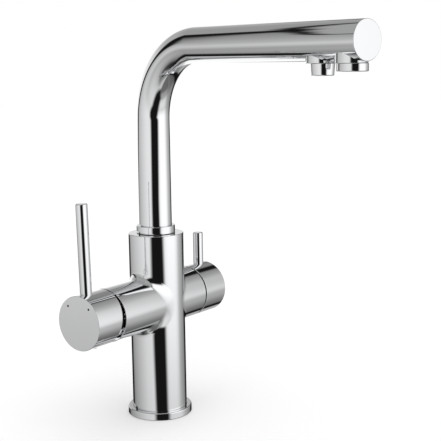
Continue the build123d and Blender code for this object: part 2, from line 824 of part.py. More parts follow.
def aerator_housing():
    """Screwed ring under the main boss that holds the aerator."""
    y = -main_outlet_reach
    ring = upright(main_outlet_radius, main_outlet_low, boss_low, 0, y)
    ring = rounded_end(ring, Axis.Z, outlet_edge, last=False)
    ring += upright(main_thread_radius, boss_low, boss_low + thread_engagement, 0, y)
    bore = main_thread_radius - aerator_wall
    ring -= upright(bore, main_outlet_low + aerator_lip, boss_low + thread_engagement, 0, y)
    return swung(ring - upright(bore - aerator_lip, main_outlet_low, main_outlet_low + aerator_lip, 0, y))


def aerator_insert():
    """Plastic cage whose ribs break the stream, seen from below."""
    radius = main_thread_radius - aerator_wall
    low = main_outlet_low + aerator_lip
    y = -main_outlet_reach
    cage = upright(radius, low, low + aerator_insert_height, 0, y)
    opening = radius - 2 * aerator_lip
    slots = upright(opening, low, low + aerator_insert_height / 2, 0, y)
    ribs = None
    count = int(opening / aerator_rib_pitch)
    for step in range(-count, count + 1):
        offset = step * aerator_rib_pitch
        half = aerator_rib_width / 2
        rib_low = (offset - half, y - opening, low)
        rib_high = (offset + half, y + opening, low + aerator_insert_height / 2)
        rib = block(rib_low, rib_high)
        ribs = rib if ribs is None else ribs + rib
    cage -= slots - ribs
    top = low + aerator_insert_height
    cage -= upright(opening - aerator_lip, top - aerator_screen_depth, top, 0, y)
    return swung(cage)


def aerator_washer():
    low = main_outlet_low + aerator_lip + aerator_insert_height
    radius = main_thread_radius - aerator_wall
    inner = radius - 2 * aerator_lip
    return swung(upright_ring(radius, inner, low, low + aerator_lip, 0, -main_outlet_reach))


def filter_nozzle():
    """Small tapered nozzle under the filter boss; its neck holds the water tube."""
    y = -filter_outlet_reach
    taper = Pos(0, y, filter_outlet_low) * Cone(
        filter_outlet_radius - nozzle_taper, filter_outlet_radius, boss_low - filter_outlet_low, align=MIN
    )
    nozzle = rounded_end(taper, Axis.Z, outlet_edge, last=False)
    nozzle += upright(filter_thread_radius, boss_low, boss_low + thread_engagement, 0, y)
    bore = filter_outlet_radius - nozzle_taper - nozzle_wall
    nozzle -= upright(bore, filter_outlet_low, boss_low, 0, y)
    nozzle -= upright(filter_tube_radius - filter_tube_wall, boss_low, boss_low + thread_engagement, 0, y)
    nozzle -= upright(filter_tube_radius, tube_end_height(), boss_low + thread_engagement, 0, y)
    return swung(nozzle)


def nozzle_insert():
    """Flow straightener with a ring of small holes."""
    y = -filter_outlet_reach
    radius = filter_outlet_radius - nozzle_taper - nozzle_wall
    low = filter_outlet_low + outlet_edge
    insert = upright(radius, low, low + nozzle_insert_height, 0, y)
    for x, dy in [(0, 0)] + round_positions(nozzle_hole_circle, range(0, 360, 60)):
        insert -= upright(nozzle_hole_radius, low, low + nozzle_insert_height, x, y + dy)
    return swung(insert)


# ---------------------------------------------------------------- filtered water tube
def tube_end_height():
    return boss_low + thread_engagement / 3


def filter_water_tube():
    """Runs from its socket in the body up through the spout to the small nozzle."""
    foot = chamber_floor - filter_tube_socket
    points = [
        (0, 0, foot),
        (0, 0, spout_height),
        (0, -filter_outlet_reach, spout_height),
        (0, -filter_outlet_reach, tube_end_height()),
    ]
    path = FilletPolyline(*points, radius=[bend_radius, filter_elbow_radius])
    outer = sweep(Pos(0, 0, foot) * Circle(filter_tube_radius), path)
    inner = sweep(Pos(0, 0, foot) * Circle(filter_tube_radius - filter_tube_wall), path)
    return swung(outer - inner)


# ---------------------------------------------------------------- all the pieces
pieces = {
    "tap_body": tap_body,
    "base_flange": base_flange,
    "base_seal": base_seal,
    "cartridge_housing": cartridge_housing,
    "cartridge_seals": cartridge_seals,
    "fixed_disc": fixed_disc,
    "cartridge_nut": cartridge_nut,
    "cartridge_cover": cartridge_cover,
    "stem_carrier": stem_carrier,
    "sliding_disc": sliding_disc,
    "tilt_pin": tilt_pin,
    "mixer_stem": mixer_stem,
    "mixer_knob": mixer_knob,
    "mixer_lever": mixer_lever,
    "mixer_knob_screw": mixer_knob_screw,
    "screw_plug": screw_plug,
    "index_dots": index_dots,
    "filter_valve": filter_valve,
    "valve_seal": valve_seal,
    "valve_fixed_disc": valve_fixed_disc,
    "valve_turning_disc": valve_turning_disc,
    "filter_spindle": filter_spindle,
    "filter_knob": filter_knob,
    "filter_lever": filter_lever,
    "filter_knob_screw": filter_knob_screw,
    "spout_tube": spout_tube,
    "spout_end_cap": spout_end_cap,
    "spout_collar": spout_collar,
    "glide_ring": glide_ring,
    "spout_spigot": spout_spigot,
    "spigot_o_rings": spigot_o_rings,
    "stop_screw": stop_screw,
    "main_outlet_boss": main_outlet_boss,
    "aerator_housing": aerator_housing,
    "aerator_insert": aerator_insert,
    "aerator_washer": aerator_washer,
    "filter_outlet_boss": filter_outlet_boss,
    "filter_nozzle": filter_nozzle,
    "nozzle_insert": nozzle_insert,
    "filter_water_tube": filter_water_tube,
}

os.makedirs("parts", exist_ok=True)
for name in inlet_places:
    export_step(hose_inlet(name), f"parts/{name}.step")
for name, make in pieces.items():
    export_step(make(), f"parts/{name}.step")
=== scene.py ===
"""Three way filtered water tap in polished chrome, dressed around its packed frame.

The file is laid out as an add-on and is run as a script. Every size is in
metres, in the frame of the packed model: the origin is the middle of the foot
on the deck, +Z up, the mixer towards -X and the filter valve towards +X.
"""

import json
import math

import bmesh
import bpy
import numpy as np
from bpy.props import FloatProperty, FloatVectorProperty, IntProperty, PointerProperty
from mathutils import Matrix, Vector
from mathutils.geometry import delaunay_2d_cdt


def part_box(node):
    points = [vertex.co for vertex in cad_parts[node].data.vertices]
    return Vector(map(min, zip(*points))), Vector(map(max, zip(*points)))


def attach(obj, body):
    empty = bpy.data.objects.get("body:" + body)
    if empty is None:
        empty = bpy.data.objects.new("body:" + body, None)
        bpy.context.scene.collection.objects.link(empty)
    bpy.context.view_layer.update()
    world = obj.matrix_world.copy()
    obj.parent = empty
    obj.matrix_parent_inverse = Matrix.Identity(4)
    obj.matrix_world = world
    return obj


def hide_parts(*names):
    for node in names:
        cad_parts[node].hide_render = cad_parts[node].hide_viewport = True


bl_info = {
    "name": "Three way kitchen tap",
    "version": (1, 0, 0),
    "blender": (4, 5, 0),
    "location": "View3D > Sidebar > Tap",
    "description": "Builds a chrome kitchen tap with a mixer lever and a filtered water lever",
    "category": "Add Mesh",
}

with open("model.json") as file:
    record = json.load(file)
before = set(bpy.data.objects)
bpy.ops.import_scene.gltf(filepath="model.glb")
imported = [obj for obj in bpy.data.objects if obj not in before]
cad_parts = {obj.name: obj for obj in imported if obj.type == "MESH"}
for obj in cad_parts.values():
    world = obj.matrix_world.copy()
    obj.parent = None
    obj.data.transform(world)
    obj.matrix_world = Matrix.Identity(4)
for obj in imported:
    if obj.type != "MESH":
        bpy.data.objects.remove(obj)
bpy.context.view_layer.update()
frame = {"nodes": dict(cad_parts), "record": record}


def lowest(node):
    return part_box(node)[0]


def highest(node):
    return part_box(node)[1]


# ------------------------------------------------------------------ sizes that a user may change
def length(label, metres, about):
    """A length that the panel shows in the scene's own unit."""
    return FloatProperty(
        name=label, description=about, default=metres, min=0.0, precision=5, unit="LENGTH", subtype="DISTANCE"
    )


def turn(label, degrees, about):
    """An angle, given in degrees."""
    return FloatProperty(
        name=label, description=about, default=math.radians(degrees), unit="ROTATION", subtype="ANGLE"
    )


def share(label, value, about, most=1.0):
    return FloatProperty(name=label, description=about, default=value, min=0.0, max=most, subtype="FACTOR")


def colour(label, rgb, about):
    return FloatVectorProperty(
        name=label, description=about, default=(*rgb, 1.0), size=4, min=0.0, max=1.0, subtype="COLOR"
    )


class BodySizes(bpy.types.PropertyGroup):
    """Sizes of the body casting and its flange."""

    column: length("Column radius", 0.02375, "Outside radius of the upright column")
    branch: length("Branch radius", 0.0225, "Outside radius of the two lever branches")
    blend: length("Mixer blend", 0.006, "Radius of the blend above and below the mixer branch")
    side_blend: share("Side blend", 0.5, "How much wider the blend is at the sides of the mixer branch", 2.0)
    filter_blend: length("Filter blend", 0.003, "Radius of the blend round the filter branch")
    axis: length("Lever axis", 0.1005, "Height of the axis of both levers above the deck")
    top: length("Body top", highest("tap_body").z, "Height of the top of the column")
    mixer_rim: length("Mixer rim", 0.0655, "Rim of the mixer branch from the column's axis")
    filter_rim: length("Filter rim", 0.0406, "Rim of the filter branch from the column's axis")
    edge: length("Edge rounding", 0.0005, "Rounding of the outer edges")
    seam: length("Seam rounding", 0.0002, "Small rounding that lets a seam show")
    flange: length("Flange radius", highest("base_flange").x, "Outside radius of the flange")
    flange_top: length("Flange height", highest("base_flange").z, "Height of the flange")
    flange_edge: length("Flange edge", 0.001, "Rounding of the flange's upper edge")
    foot: length("Foot radius", 0.021, "Radius of the foot inside the flange")
    ledge: length("Flange ledge", 0.003, "Thickness of the ledge under the foot")
    screw_height: length("Stop screw height", 0.148, "Height of the stop screw at the back")
    screw_hole: length("Stop screw hole", 0.00255, "Radius of the stop screw's hole")


class HandleSizes(bpy.types.PropertyGroup):
    """Sizes of the two knobs and their levers."""

    knob: length("Knob radius", 0.0225, "Outside radius of both knobs")
    face: length("Mixer face", -lowest("mixer_knob").x, "Face of the mixer knob from the column's axis")
    face_wall: length("Face thickness", 0.003, "Thickness of a knob's face")
    wall: length("Mixer knob wall", 0.002, "Thickness of the mixer knob's wall")
    gap: length("Mixer gap", 0.0016, "Gap between branch and mixer knob, at the top")
    rake: turn("Rim rake", 7.6, "Lean of the mixer knob's rim, which opens the gap below")
    boss: length("Mixer boss", 0.0085, "Radius of the boss that takes the square stem")
    boss_start: length("Mixer boss start", 0.0766, "Inner end of that boss from the column's axis")
    pivot: length("Tilt pin", 0.05, "Tilt pin from the column's axis")
    cover: length("Cover sphere", 0.0252, "Radius of the domed cover ring")
    lever: length("Mixer lever radius", 0.0048, "Radius of the mixer lever")
    lever_at: length("Mixer lever axis", 0.088, "Mixer lever from the column's axis")
    lever_length: length("Mixer lever length", 0.0737, "Mixer lever above its knob")
    lean: turn("Mixer lever lean", 1.3, "Outward lean of the mixer lever")
    root: length("Lever root", 0.0055, "How deep a lever sits in its knob")
    tip: length("Lever tip", 0.001, "Rounding of the lever tips")
    dot: length("Index dot", 0.00095, "Radius of the two index dots")
    dot_circle: length("Index circle", 0.0174, "Distance of the dots from the knob's axis")
    dot_rise: turn("Index rise", 49.5, "Angle of the dots above the horizontal")
    small_face: length("Filter face", highest("filter_knob").x, "Face of that knob from the column's axis")
    small_wall: length("Filter knob wall", 0.0025, "Thickness of the filter knob's wall")
    small_gap: length("Filter gap", 0.0014, "Gap between branch and filter knob")
    small_lever: length("Filter lever radius", 0.00445, "Radius of the filter lever")
    small_lever_at: length("Filter lever axis", 0.0587, "Filter lever from the column's axis")
    small_lever_length: length("Filter lever length", 0.029, "Filter lever above its knob")


class SpoutSizes(bpy.types.PropertyGroup):
    """Sizes of the spout and its outlets."""

    tube: length("Tube radius", 0.014, "Outside radius of the spout")
    arm: length("Arm height", highest("spout_tube").z - 0.014, "Axis of the arm above the deck")
    reach: length("Reach", 0.2415, "End of the arm from the column's axis")
    bend: length("Bend radius", 0.061, "Radius of the bend on the tube's axis")
    swing: turn("Swing", 13.5, "How far the spout rests towards the mixer")
    bend_steps: IntProperty(name="Bend steps", description="Rings round the bend", default=72, min=8)
    round_steps: IntProperty(name="Round steps", description="Faces round the tube", default=192, min=16)
    cap: length("End cap", 0.0015, "Thickness of the end cap")
    collar: length("Collar radius", highest("spout_collar").x, "Outside radius of the collar")
    outlet_low: length("Boss face", lowest("main_outlet_boss").z, "Height of the bosses' lower faces")
    main_at: length("Main outlet", 0.2282, "Main outlet from the column's axis")
    main_boss: length("Main boss", 0.0115, "Radius of the boss over the main outlet")
    main_shift: length("Main boss shift", 0.0012, "How much nearer the column that boss stands")
    main_ring: length("Aerator ring", 0.0109, "Outside radius of the aerator's housing")
    main_thread: length("Aerator thread", 0.0094, "Radius of the housing's thread")
    filter_at: length("Filter outlet", 0.2003, "Filtered water outlet from the column's axis")
    filter_boss: length("Filter boss", 0.01, "Radius of the boss over the filtered water outlet")
    filter_shift: length("Filter boss shift", 0.0026, "How much nearer the column that boss stands")
    nozzle: length("Nozzle radius", 0.0086, "Radius of the filtered water nozzle at its top")
    taper: length("Nozzle taper", 0.0006, "How much slimmer the nozzle is at its foot")
    nozzle_thread: length("Nozzle thread", 0.007, "Radius of the nozzle's thread")
    lip: length("Outlet edge", 0.0008, "Rounding of the lower edges of both outlets")
    rib_pitch: length("Rib pitch", 0.003, "Distance between the ribs in the aerator")
    rib_width: length("Rib width", 0.0009, "Width of the ribs in the aerator")


class ThreadSizes(bpy.types.PropertyGroup):
    """Sizes of the screw threads seen from below."""

    shank: length("Shank thread", 0.0157, "Core radius of the thread for the fixing shank")
    shank_length: length("Shank thread length", 0.012, "Length of that thread")
    shank_pitch: length("Shank pitch", 0.0015, "Pitch of that thread")
    hose: length("Hose thread", 0.0045, "Radius of the threads for the supply hoses")
    hose_length: length("Hose thread length", 0.0095, "Length of those threads")
    hose_pitch: length("Hose pitch", 0.001, "Pitch of those threads")


class FinishSettings(bpy.types.PropertyGroup):
    """Colours and polish of the finishes."""

    chrome: colour("Chrome", (0.90, 0.905, 0.915), "Colour of the polished chrome")
    polish: share("Chrome roughness", 0.035, "Roughness of the polished chrome")
    brass: colour("Brass", (0.80, 0.60, 0.30), "Colour of the bare brass")
    rubber: colour("Rubber", (0.020, 0.020, 0.021), "Colour of seals and O rings")
    dot: colour("Index dots", (0.012, 0.012, 0.014), "Colour of the two index dots")


class StudioSettings(bpy.types.PropertyGroup):
    """The camera and the light."""

    lens: FloatProperty(name="Lens", description="Focal length", default=82.05, unit="CAMERA")
    sensor: FloatProperty(name="Sensor", description="Sensor width", default=36.0, unit="CAMERA")
    ambient: share("Ambient light", 0.78, "Strength of the light from all round", 10.0)
    lamp: share("Soft lamp", 0.9, "Strength of the broad lamp overhead", 10.0)
    lamp_spread: turn("Lamp spread", 70.0, "How wide the lamp looks from the tap, which softens its shadow")
    floor: colour("Floor", (0.80, 0.80, 0.80), "Colour of the floor")
    floor_lift: share("Floor lift", 0.20, "How much the floor is lifted to white for the camera")


# ------------------------------------------------------------------ shapes
RIGHT, BACK, UP = np.eye(3)
WELD = 1e-7  # points nearer than this are one point
ROUND_STEPS = 6  # faces across a rounded edge
ARC_STEPS = 24  # faces up a dome
TURN_STEPS = 240  # faces round a large turned piece
FULL_TURN = np.linspace(0.0, 2 * math.pi, TURN_STEPS + 1)
SMALL_TURN = np.linspace(0.0, 2 * math.pi, 97)
HOLE_MARGIN = 1.8  # half width of the window round a hole in a wall, in radii of the hole
HOLE_RINGS = 6
BAND_MARGIN = 0.0015  # plain column above and below the blend of a branch
BAND_STEPS = 64  # faces up one side of that band
BAND_SPREAD = 1.3  # half angle of the column that a branch takes up, which spaces the faces round it
COLUMN_RINGS = 9
BLEND_RINGS = 25
BLEND_LIMITS = (0.001, 0.2)  # the blend's radius is sought between these, by halving
BLEND_HALVINGS = 40


def unit(vectors):
    return vectors / np.linalg.norm(vectors, axis=-1, keepdims=True)


class Skin:
    """Gathers faces with the true normal at each corner, so that the chrome mirrors cleanly."""

    def __init__(self):
        self.faces = []

    def grid(self, places, normals):
        """Faces over rows and columns of points."""
        both = np.concatenate(np.broadcast_arrays(places, normals), axis=2)
        around = [both[:-1, :-1], both[1:, :-1], both[1:, 1:], both[:-1, 1:]]
        self.faces.append(np.stack(around, axis=2).reshape(-1, 4, 6))

    def flat(self, loops, normal):
        """A flat face inside the first loop and outside the others."""
        u = unit(np.cross(normal, UP if abs(normal[2]) < 0.9 else RIGHT))
        v = np.cross(normal, u)
        places = np.concatenate(loops)
        drawn = places @ np.stack([u, v], axis=1)
        edges, first = [], 0
        for loop in loops:
            count = len(loop)
            edges += [(first + i, first + (i + 1) % count) for i in range(count)]
            first += count
        made = delaunay_2d_cdt([Vector(p) for p in drawn], edges, [], 0, WELD / 100)
        spots, triangles = np.array([tuple(p) for p in made[0]]), made[2]
        source = [origin[0] for origin in made[3]]
        holes = [loop @ np.stack([u, v], axis=1) for loop in loops[1:]]
        corners = []
        for triangle in triangles:
            middle = spots[list(triangle)].mean(axis=0)
            if not any(within(middle, hole) for hole in holes):
                corners.append([source[i] for i in (*triangle, triangle[2])])
        points = places[np.array(corners)]
        self.faces.append(np.concatenate(np.broadcast_arrays(points, np.array(normal, float)), axis=2))

    def mesh(self, name):
        """One mesh of all the faces, welded, turned outwards and with its normals kept."""
        corners = np.concatenate(self.faces)
        keys = np.round(corners[:, :, :3] / WELD).astype(np.int64)
        places, index = np.unique(keys.reshape(-1, 3), axis=0, return_inverse=True)
        index = index.reshape(-1, 4)
        points = corners[:, :, :3]
        facing = np.cross(points[:, 2] - points[:, 0], points[:, 3] - points[:, 1])
        wrong = (facing * corners[:, :, 3:].mean(axis=1)).sum(axis=1) < 0
        index[wrong] = index[wrong][:, ::-1]
        corners[wrong] = corners[wrong][:, ::-1]
        faces, normals = [], []
        for face, around in zip(index.tolist(), corners[:, :, 3:].tolist()):
            kept = [k for k in range(4) if face[k] != face[k - 1]]
            if len(kept) > 2 and len({face[k] for k in kept}) == len(kept):
                faces.append([face[k] for k in kept])
                normals += [around[k] for k in kept]
        mesh = bpy.data.meshes.new(name)
        mesh.from_pydata((places * WELD).tolist(), [], faces)
        mesh.shade_smooth()
        mesh.normals_split_custom_set(normals)
        return mesh


def within(point, loop):
    """Whether a point lies in a round loop of points."""
    middle = loop.mean(axis=0)
    return np.linalg.norm(point - middle) < np.linalg.norm(loop - middle, axis=1).min()


def outline(*corners, closed=False):
    """Straights and roundings of a turned outline, travelled with the material on the left.

    A corner is (radius, height) or (radius, height, rounding). Each run that comes
    back is an array of radius, height and the two parts of the normal.
    """
    spots = [np.array(c[:2], float) for c in corners]
    rounds = [c[2] if len(c) > 2 else 0.0 for c in corners]
    count = len(spots)
    last = count if closed else count - 1
    starts, ends, runs = list(spots), list(spots), []
    for i in range(count):
        if not rounds[i]:
            continue
        before = unit(spots[i] - spots[i - 1])
        after = unit(spots[(i + 1) % count] - spots[i])
        sense = math.copysign(1.0, before[0] * after[1] - before[1] * after[0])
        bend = math.acos(max(-1.0, min(1.0, float(before @ after))))
        reach = rounds[i] * math.tan(bend / 2)
        starts[i] = spots[i] - before * reach
        ends[i] = spots[i] + after * reach
        first = math.atan2(-before[0], before[1])
        angles = first + sense * np.linspace(0.0, bend, ROUND_STEPS + 1)
        normals = np.stack([np.cos(angles), np.sin(angles)], axis=1)
        centre = starts[i] - sense * rounds[i] * normals[0]
        runs.append(np.concatenate([centre + sense * rounds[i] * normals, normals], axis=1))
    for i in range(last):
        a, b = ends[i], starts[(i + 1) % count]
        if np.allclose(a, b):
            continue
        along = unit(b - a)
        normal = (along[1], -along[0])
        runs.append(np.array([[*a, *normal], [*b, *normal]]))
    return runs


def arc(middle, radius, first, last):
    """A run on a circle centred on the axis, from one angle off the axis to another."""
    angles = np.linspace(first, last, ARC_STEPS + 1)
    normals = np.stack([np.sin(angles), np.cos(angles)], axis=1)
    return np.concatenate([np.array([0.0, middle]) + radius * normals, normals], axis=1)


class Place:
    """Where a turned piece stands: its axis, and the direction that its angles start from."""

    def __init__(self, origin, axis, start, side=None):
        self.origin = np.array(origin, float)
        self.axis = unit(np.array(axis, float))
        self.start = unit(np.array(start, float))
        self.side = np.cross(self.axis, self.start) if side is None else np.array(side, float)

    def around(self, angles):
        return np.cos(angles)[:, None] * self.start + np.sin(angles)[:, None] * self.side

    def at(self, radius, height, angles):
        """Points at one radius and one height, or at as many as there are angles."""
        spokes = self.around(angles) * np.reshape(radius, (-1, 1))
        return self.origin + spokes + np.reshape(height, (-1, 1)) * self.axis


def turned(skin, runs, place, angles=FULL_TURN, warp=None):
    """Turns an outline about an axis."""
    spokes = place.around(angles)[None]
    for run in runs:
        radius, height, out, along = (run[:, k, None, None] for k in range(4))
        places = place.origin + radius * spokes + height * place.axis
        normals = out * spokes + along * place.axis
        if warp:
            places, normals = warp(places, normals)
        skin.grid(places, unit(normals + 0 * places))


def pierced(skin, place, radius, low, high, middle, angle, hole, depth):
    """A band of a turned wall with a round hole in it, and the hole's own wall and floor."""
    step = 2 * math.pi / TURN_STEPS
    half = int(math.ceil(HOLE_MARGIN * hole / (radius * step)))
    rows = np.linspace(middle - half * step * radius, middle + half * step * radius, 2 * half + 1)
    for a, b in ((low, rows[0]), (rows[-1], high)):
        turned(skin, [np.array([[radius, a, 1, 0], [radius, b, 1, 0]])], place)
    wide = angle + step * np.arange(half, TURN_STEPS - half + 1)
    turned(skin, [np.stack([np.full_like(rows, radius), rows, rows * 0 + 1, rows * 0], axis=1)], place, wide)
    ticks = np.arange(-half, half + 1)
    window = [(t, half) for t in ticks[:-1]] + [(half, -t) for t in ticks[:-1]]
    window += [(-t, -half) for t in ticks[:-1]] + [(-half, t) for t in ticks]
    window = np.array(window, float) * step * radius
    turns = np.arctan2(window[:, 1], window[:, 0])
    rim = np.stack([radius * np.arcsin(hole * np.cos(turns) / radius), hole * np.sin(turns)], axis=1)
    shares = np.linspace(0.0, 1.0, HOLE_RINGS)[:, None, None]
    spread = rim + shares * (window - rim)
    places, normals = [], []
    for ring in spread:
        turned_by = angle + ring[:, 0] / radius
        normals.append(place.around(turned_by))
        places.append(place.at(radius, middle + ring[:, 1], turned_by))
    skin.grid(np.array(places), np.array(normals))
    inwards = -place.around(np.array([angle]))[0]
    across = place.around(np.array([angle + math.pi / 2]))[0]
    spokes = np.cos(turns)[:, None] * across + np.sin(turns)[:, None] * place.axis
    core = place.origin + middle * place.axis - inwards * (radius - depth)
    bottom = core + hole * spokes
    skin.grid(np.array([places[0], bottom]), np.array([-spokes, -spokes]))
    skin.grid(np.array([bottom, 0 * bottom + core]), -inwards)


# ------------------------------------------------------------------ pieces
# Sizes that hardly show. Heights are above the deck, or along a lever's axis from the column's axis.
MIXER_BORE = ((0.019, 0.054), (0.0175, 0.028))  # the steps of a bore: each one's radius, and where it ends
FILTER_BORE = ((0.0136, 0.037), (0.0104, 0.03), (0.0096, 0.018))
SPOUT_SOCKET = 0.01205  # radius of the bore that takes the spout, in the column and in the collar
SOCKET_FLOOR = 0.122
SPOUT_FOOT = 0.1625  # where the tube ends, in its collar
FOOT_CAVITY = 0.01975
CAVITY_CEILING = 0.066
STOP_SCREW_DEPTH = 0.011
SEAL_GROOVE = (0.022, 0.024, 0.0016)  # inner radius, outer radius and depth
SHANK_RIDGE = 0.0007  # radius of a thread's ridge
HOSE_RIDGE = 0.0003
HOSE_CLEARANCE = 0.0001
THREAD_STEPS = 48  # rings in a turn of a thread
RIDGE_STEPS = 8
STUD = 0.003  # the thin stud below each lever
MIXER_STUD_END = 0.0175
FILTER_STUD_END = 0.0185
RIM_BAND = 0.001  # the part of the mixer knob that leans with its rim
DOT_DEPTH = 0.0006
DOT_SETBACK = 1e-5
DOT_ROUNDING = 1e-4
CAP_AT = 0.081  # the screw cap under the mixer knob
CAP_RADIUS = 0.0026
CAP_OUTSIDE = 0.0015
CAP_INSIDE = 0.002
COVER_OPENING = 0.0164
COVER_RIM = 0.0012
COVER_SLEEVE = (0.01655, 0.01895, 0.061)  # inner radius, outer radius and inner end
SMALL_BOSS = 0.008  # the boss in the filter knob
SMALL_BOSS_START = 0.0502
KNOB_SCREW_HOLE = 0.0025
KNOB_SCREW_BITE = 0.001  # how deep that hole goes into the boss
END_PLUG = (0.0125, 0.002)  # radius and length of the part of the end cap that stands in the tube
OUTLET_NECK = 0.0046  # how far both outlets are screwed in
AERATOR_WALL = 0.0017
AERATOR_LIP = 0.001
NOZZLE_WALL = 0.0019
NOZZLE_TUBE = 0.003
MOUTH_ROUNDING = 0.0003
SADDLE_OVERLAP = 2e-5  # how far a boss reaches into the arm
SADDLE_ROWS = 5
CAGE_RING = 0.002
CAGE_OVERLAP = 0.0004  # how much longer a rib is than the opening
CAGE_FLOOR = 0.001
CAGE_STEPS = 64


def shown(name, mesh, body, slot, material, *nodes):
    """Puts a finished mesh in the scene, on its body and in place of its nodes."""
    piece = bpy.data.objects.new(name, mesh)
    bpy.context.scene.collection.objects.link(piece)
    mesh.materials.clear()
    mesh.materials.append(bpy.data.materials[material])
    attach(piece, body)
    if nodes:
        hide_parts(*nodes)


def chrome_turning(name, runs, place, body, node, angles=FULL_TURN):
    """A turned piece in polished chrome."""
    skin = Skin()
    turned(skin, runs, place, angles)
    shown(name, skin.mesh(name), body, "chrome", "chrome_turned", node)


def column_place():
    return Place((0, 0, 0), UP, RIGHT)


def branch_place(side, axis):
    """A lever axis: angles start at the top and go round by the back."""
    return Place((0, 0, axis), side * RIGHT, UP, BACK)


def blend_radius(phi, column, branch, width):
    """The radius of the ball that blends column and branch over one width all the way round."""
    least, most = (np.full_like(phi, radius) for radius in BLEND_LIMITS)
    for _ in range(BLEND_HALVINGS):
        ball = (least + most) / 2
        span = np.arccos((branch + ball) * np.sin(phi) ** 2 / (column + ball))
        wide = 2 * ball * np.sin(span / 2) > width
        least, most = np.where(wide, least, ball), np.where(wide, ball, most)
    return ball


def stepped(start, bore):
    """Corners of a bore that narrows in steps, from its mouth down to its floor."""
    corners = []
    for radius, end in bore:
        corners += [(radius, start), (radius, end)]
        start = end
    return [*corners, (0, start)]


def band_height(body):
    """Half the height of the band of the column that both branches leave."""
    return body.branch + body.blend + BAND_MARGIN


def band_border(tall):
    """The border of half the band, once round, as angles from the branch and heights from its axis."""
    ticks = np.linspace(-math.pi / 2, math.pi / 2, TURN_STEPS // 2 + 1)
    rises = np.linspace(tall, -tall, BAND_STEPS + 1)
    border = [(t, tall) for t in ticks[:-1]] + [(math.pi / 2, r) for r in rises[:-1]]
    border += [(-t, -tall) for t in ticks[:-1]] + [(-math.pi / 2, -r) for r in rises]
    return np.array(border)


def blended_branch(skin, body, side, rim, bore, blend, softer):
    """One side of the column, the blend round its branch and the branch itself."""
    column, branch = body.column, body.branch
    border = band_border(band_height(body))
    phi = np.arctan2(border[:, 0] / BAND_SPREAD, border[:, 1] / band_height(body))
    place = branch_place(side, body.axis)
    mirror = np.array([side, 1.0, 1.0])
    width = blend * math.sqrt(2) * (1 + softer * np.sin(phi) ** 4)
    ball = blend_radius(phi, column, branch, width)
    across, rise = (branch + ball) * np.sin(phi), (branch + ball) * np.cos(phi)
    out = np.sqrt((column + ball) ** 2 - across ** 2)
    centres = np.stack([out, across, rise], axis=1)
    # the column round the blend
    rim_line = np.stack([np.arctan2(across, out), rise], axis=1)
    places, normals = [], []
    for part in np.linspace(0.0, 1.0, COLUMN_RINGS):
        angle, height = (rim_line + part * (border - rim_line)).T
        normal = np.stack([np.cos(angle), np.sin(angle), 0 * angle], axis=1)
        normals.append(normal * mirror)
        places.append((normal * column + height[:, None] * UP) * mirror + body.axis * UP)
    skin.grid(np.array(places), np.array(normals))
    # the blend itself
    to_branch = np.stack([0 * phi, -np.sin(phi), -np.cos(phi)], axis=1)
    to_column = -unit(centres * np.array([1.0, 1.0, 0.0]))
    span = np.arccos(np.clip((to_branch * to_column).sum(axis=1), -1, 1))[:, None]
    places, normals = [], []
    for part in np.linspace(0.0, 1.0, BLEND_RINGS):
        ray = (np.sin((1 - part) * span) * to_column + np.sin(part * span) * to_branch) / np.sin(span)
        normals.append(-ray * mirror)
        places.append((centres + ball[:, None] * ray) * mirror + body.axis * UP)
    skin.grid(np.array(places), np.array(normals))
    # the branch, its rim and its bore
    spokes = place.around(phi)
    end = place.at(branch, rim - body.edge, phi)
    wall = [places[-1] + part * (end - places[-1]) for part in (0.0, 0.5, 1.0)]
    skin.grid(np.array(wall), spokes)
    runs = outline((branch, rim - body.edge), (branch, rim, body.edge), *stepped(rim, bore))
    turned(skin, runs, place, phi)


def build_body(body, threads):
    skin = Skin()
    column = column_place()
    blended_branch(skin, body, -1.0, body.mixer_rim, MIXER_BORE, body.blend, body.side_blend)
    blended_branch(skin, body, 1.0, body.filter_rim, FILTER_BORE, body.filter_blend, 0)
    upper, lower = body.axis + band_height(body), body.axis - band_height(body)
    shoulder = body.top - body.edge
    pierced(skin, column, body.column, upper, shoulder, body.screw_height, math.pi / 2, body.screw_hole,
            STOP_SCREW_DEPTH)
    socket = stepped(body.top, [(SPOUT_SOCKET, SOCKET_FLOOR)])
    turned(skin, outline((body.column, shoulder), (body.column, body.top, body.edge), *socket), column)
    root = threads.shank + SHANK_RIDGE
    turned(skin, outline(
        (0, CAVITY_CEILING), (FOOT_CAVITY, CAVITY_CEILING), (FOOT_CAVITY, threads.shank_length),
        (root, threads.shank_length), (root, 0), (body.foot, 0), (body.foot, body.ledge),
        (body.column, body.ledge), (body.column, lower)), column)
    shown("tap_body_casting", skin.mesh("tap_body_casting"), "base", "chrome", "chrome_cast", "tap_body")


def build_flange(body):
    near, far, deep = SEAL_GROOVE
    runs = outline(
        (body.foot, 0), (near, 0), (near, deep), (far, deep), (far, 0),
        (body.flange, 0, body.edge), (body.flange, body.flange_top, body.flange_edge),
        (body.column, body.flange_top, body.seam), (body.column, body.ledge), (body.foot, body.ledge),
        closed=True)
    chrome_turning("deck_flange", runs, column_place(), "base", "base_flange")


def lever_outline(handle, radius, top, stud_end):
    """A lever with its rounded tip, its root in the knob and the stud below that."""
    return outline(
        (0, -stud_end), (STUD, -stud_end), (STUD, -handle.root), (radius, -handle.root),
        (radius, top, handle.tip), (0, top))


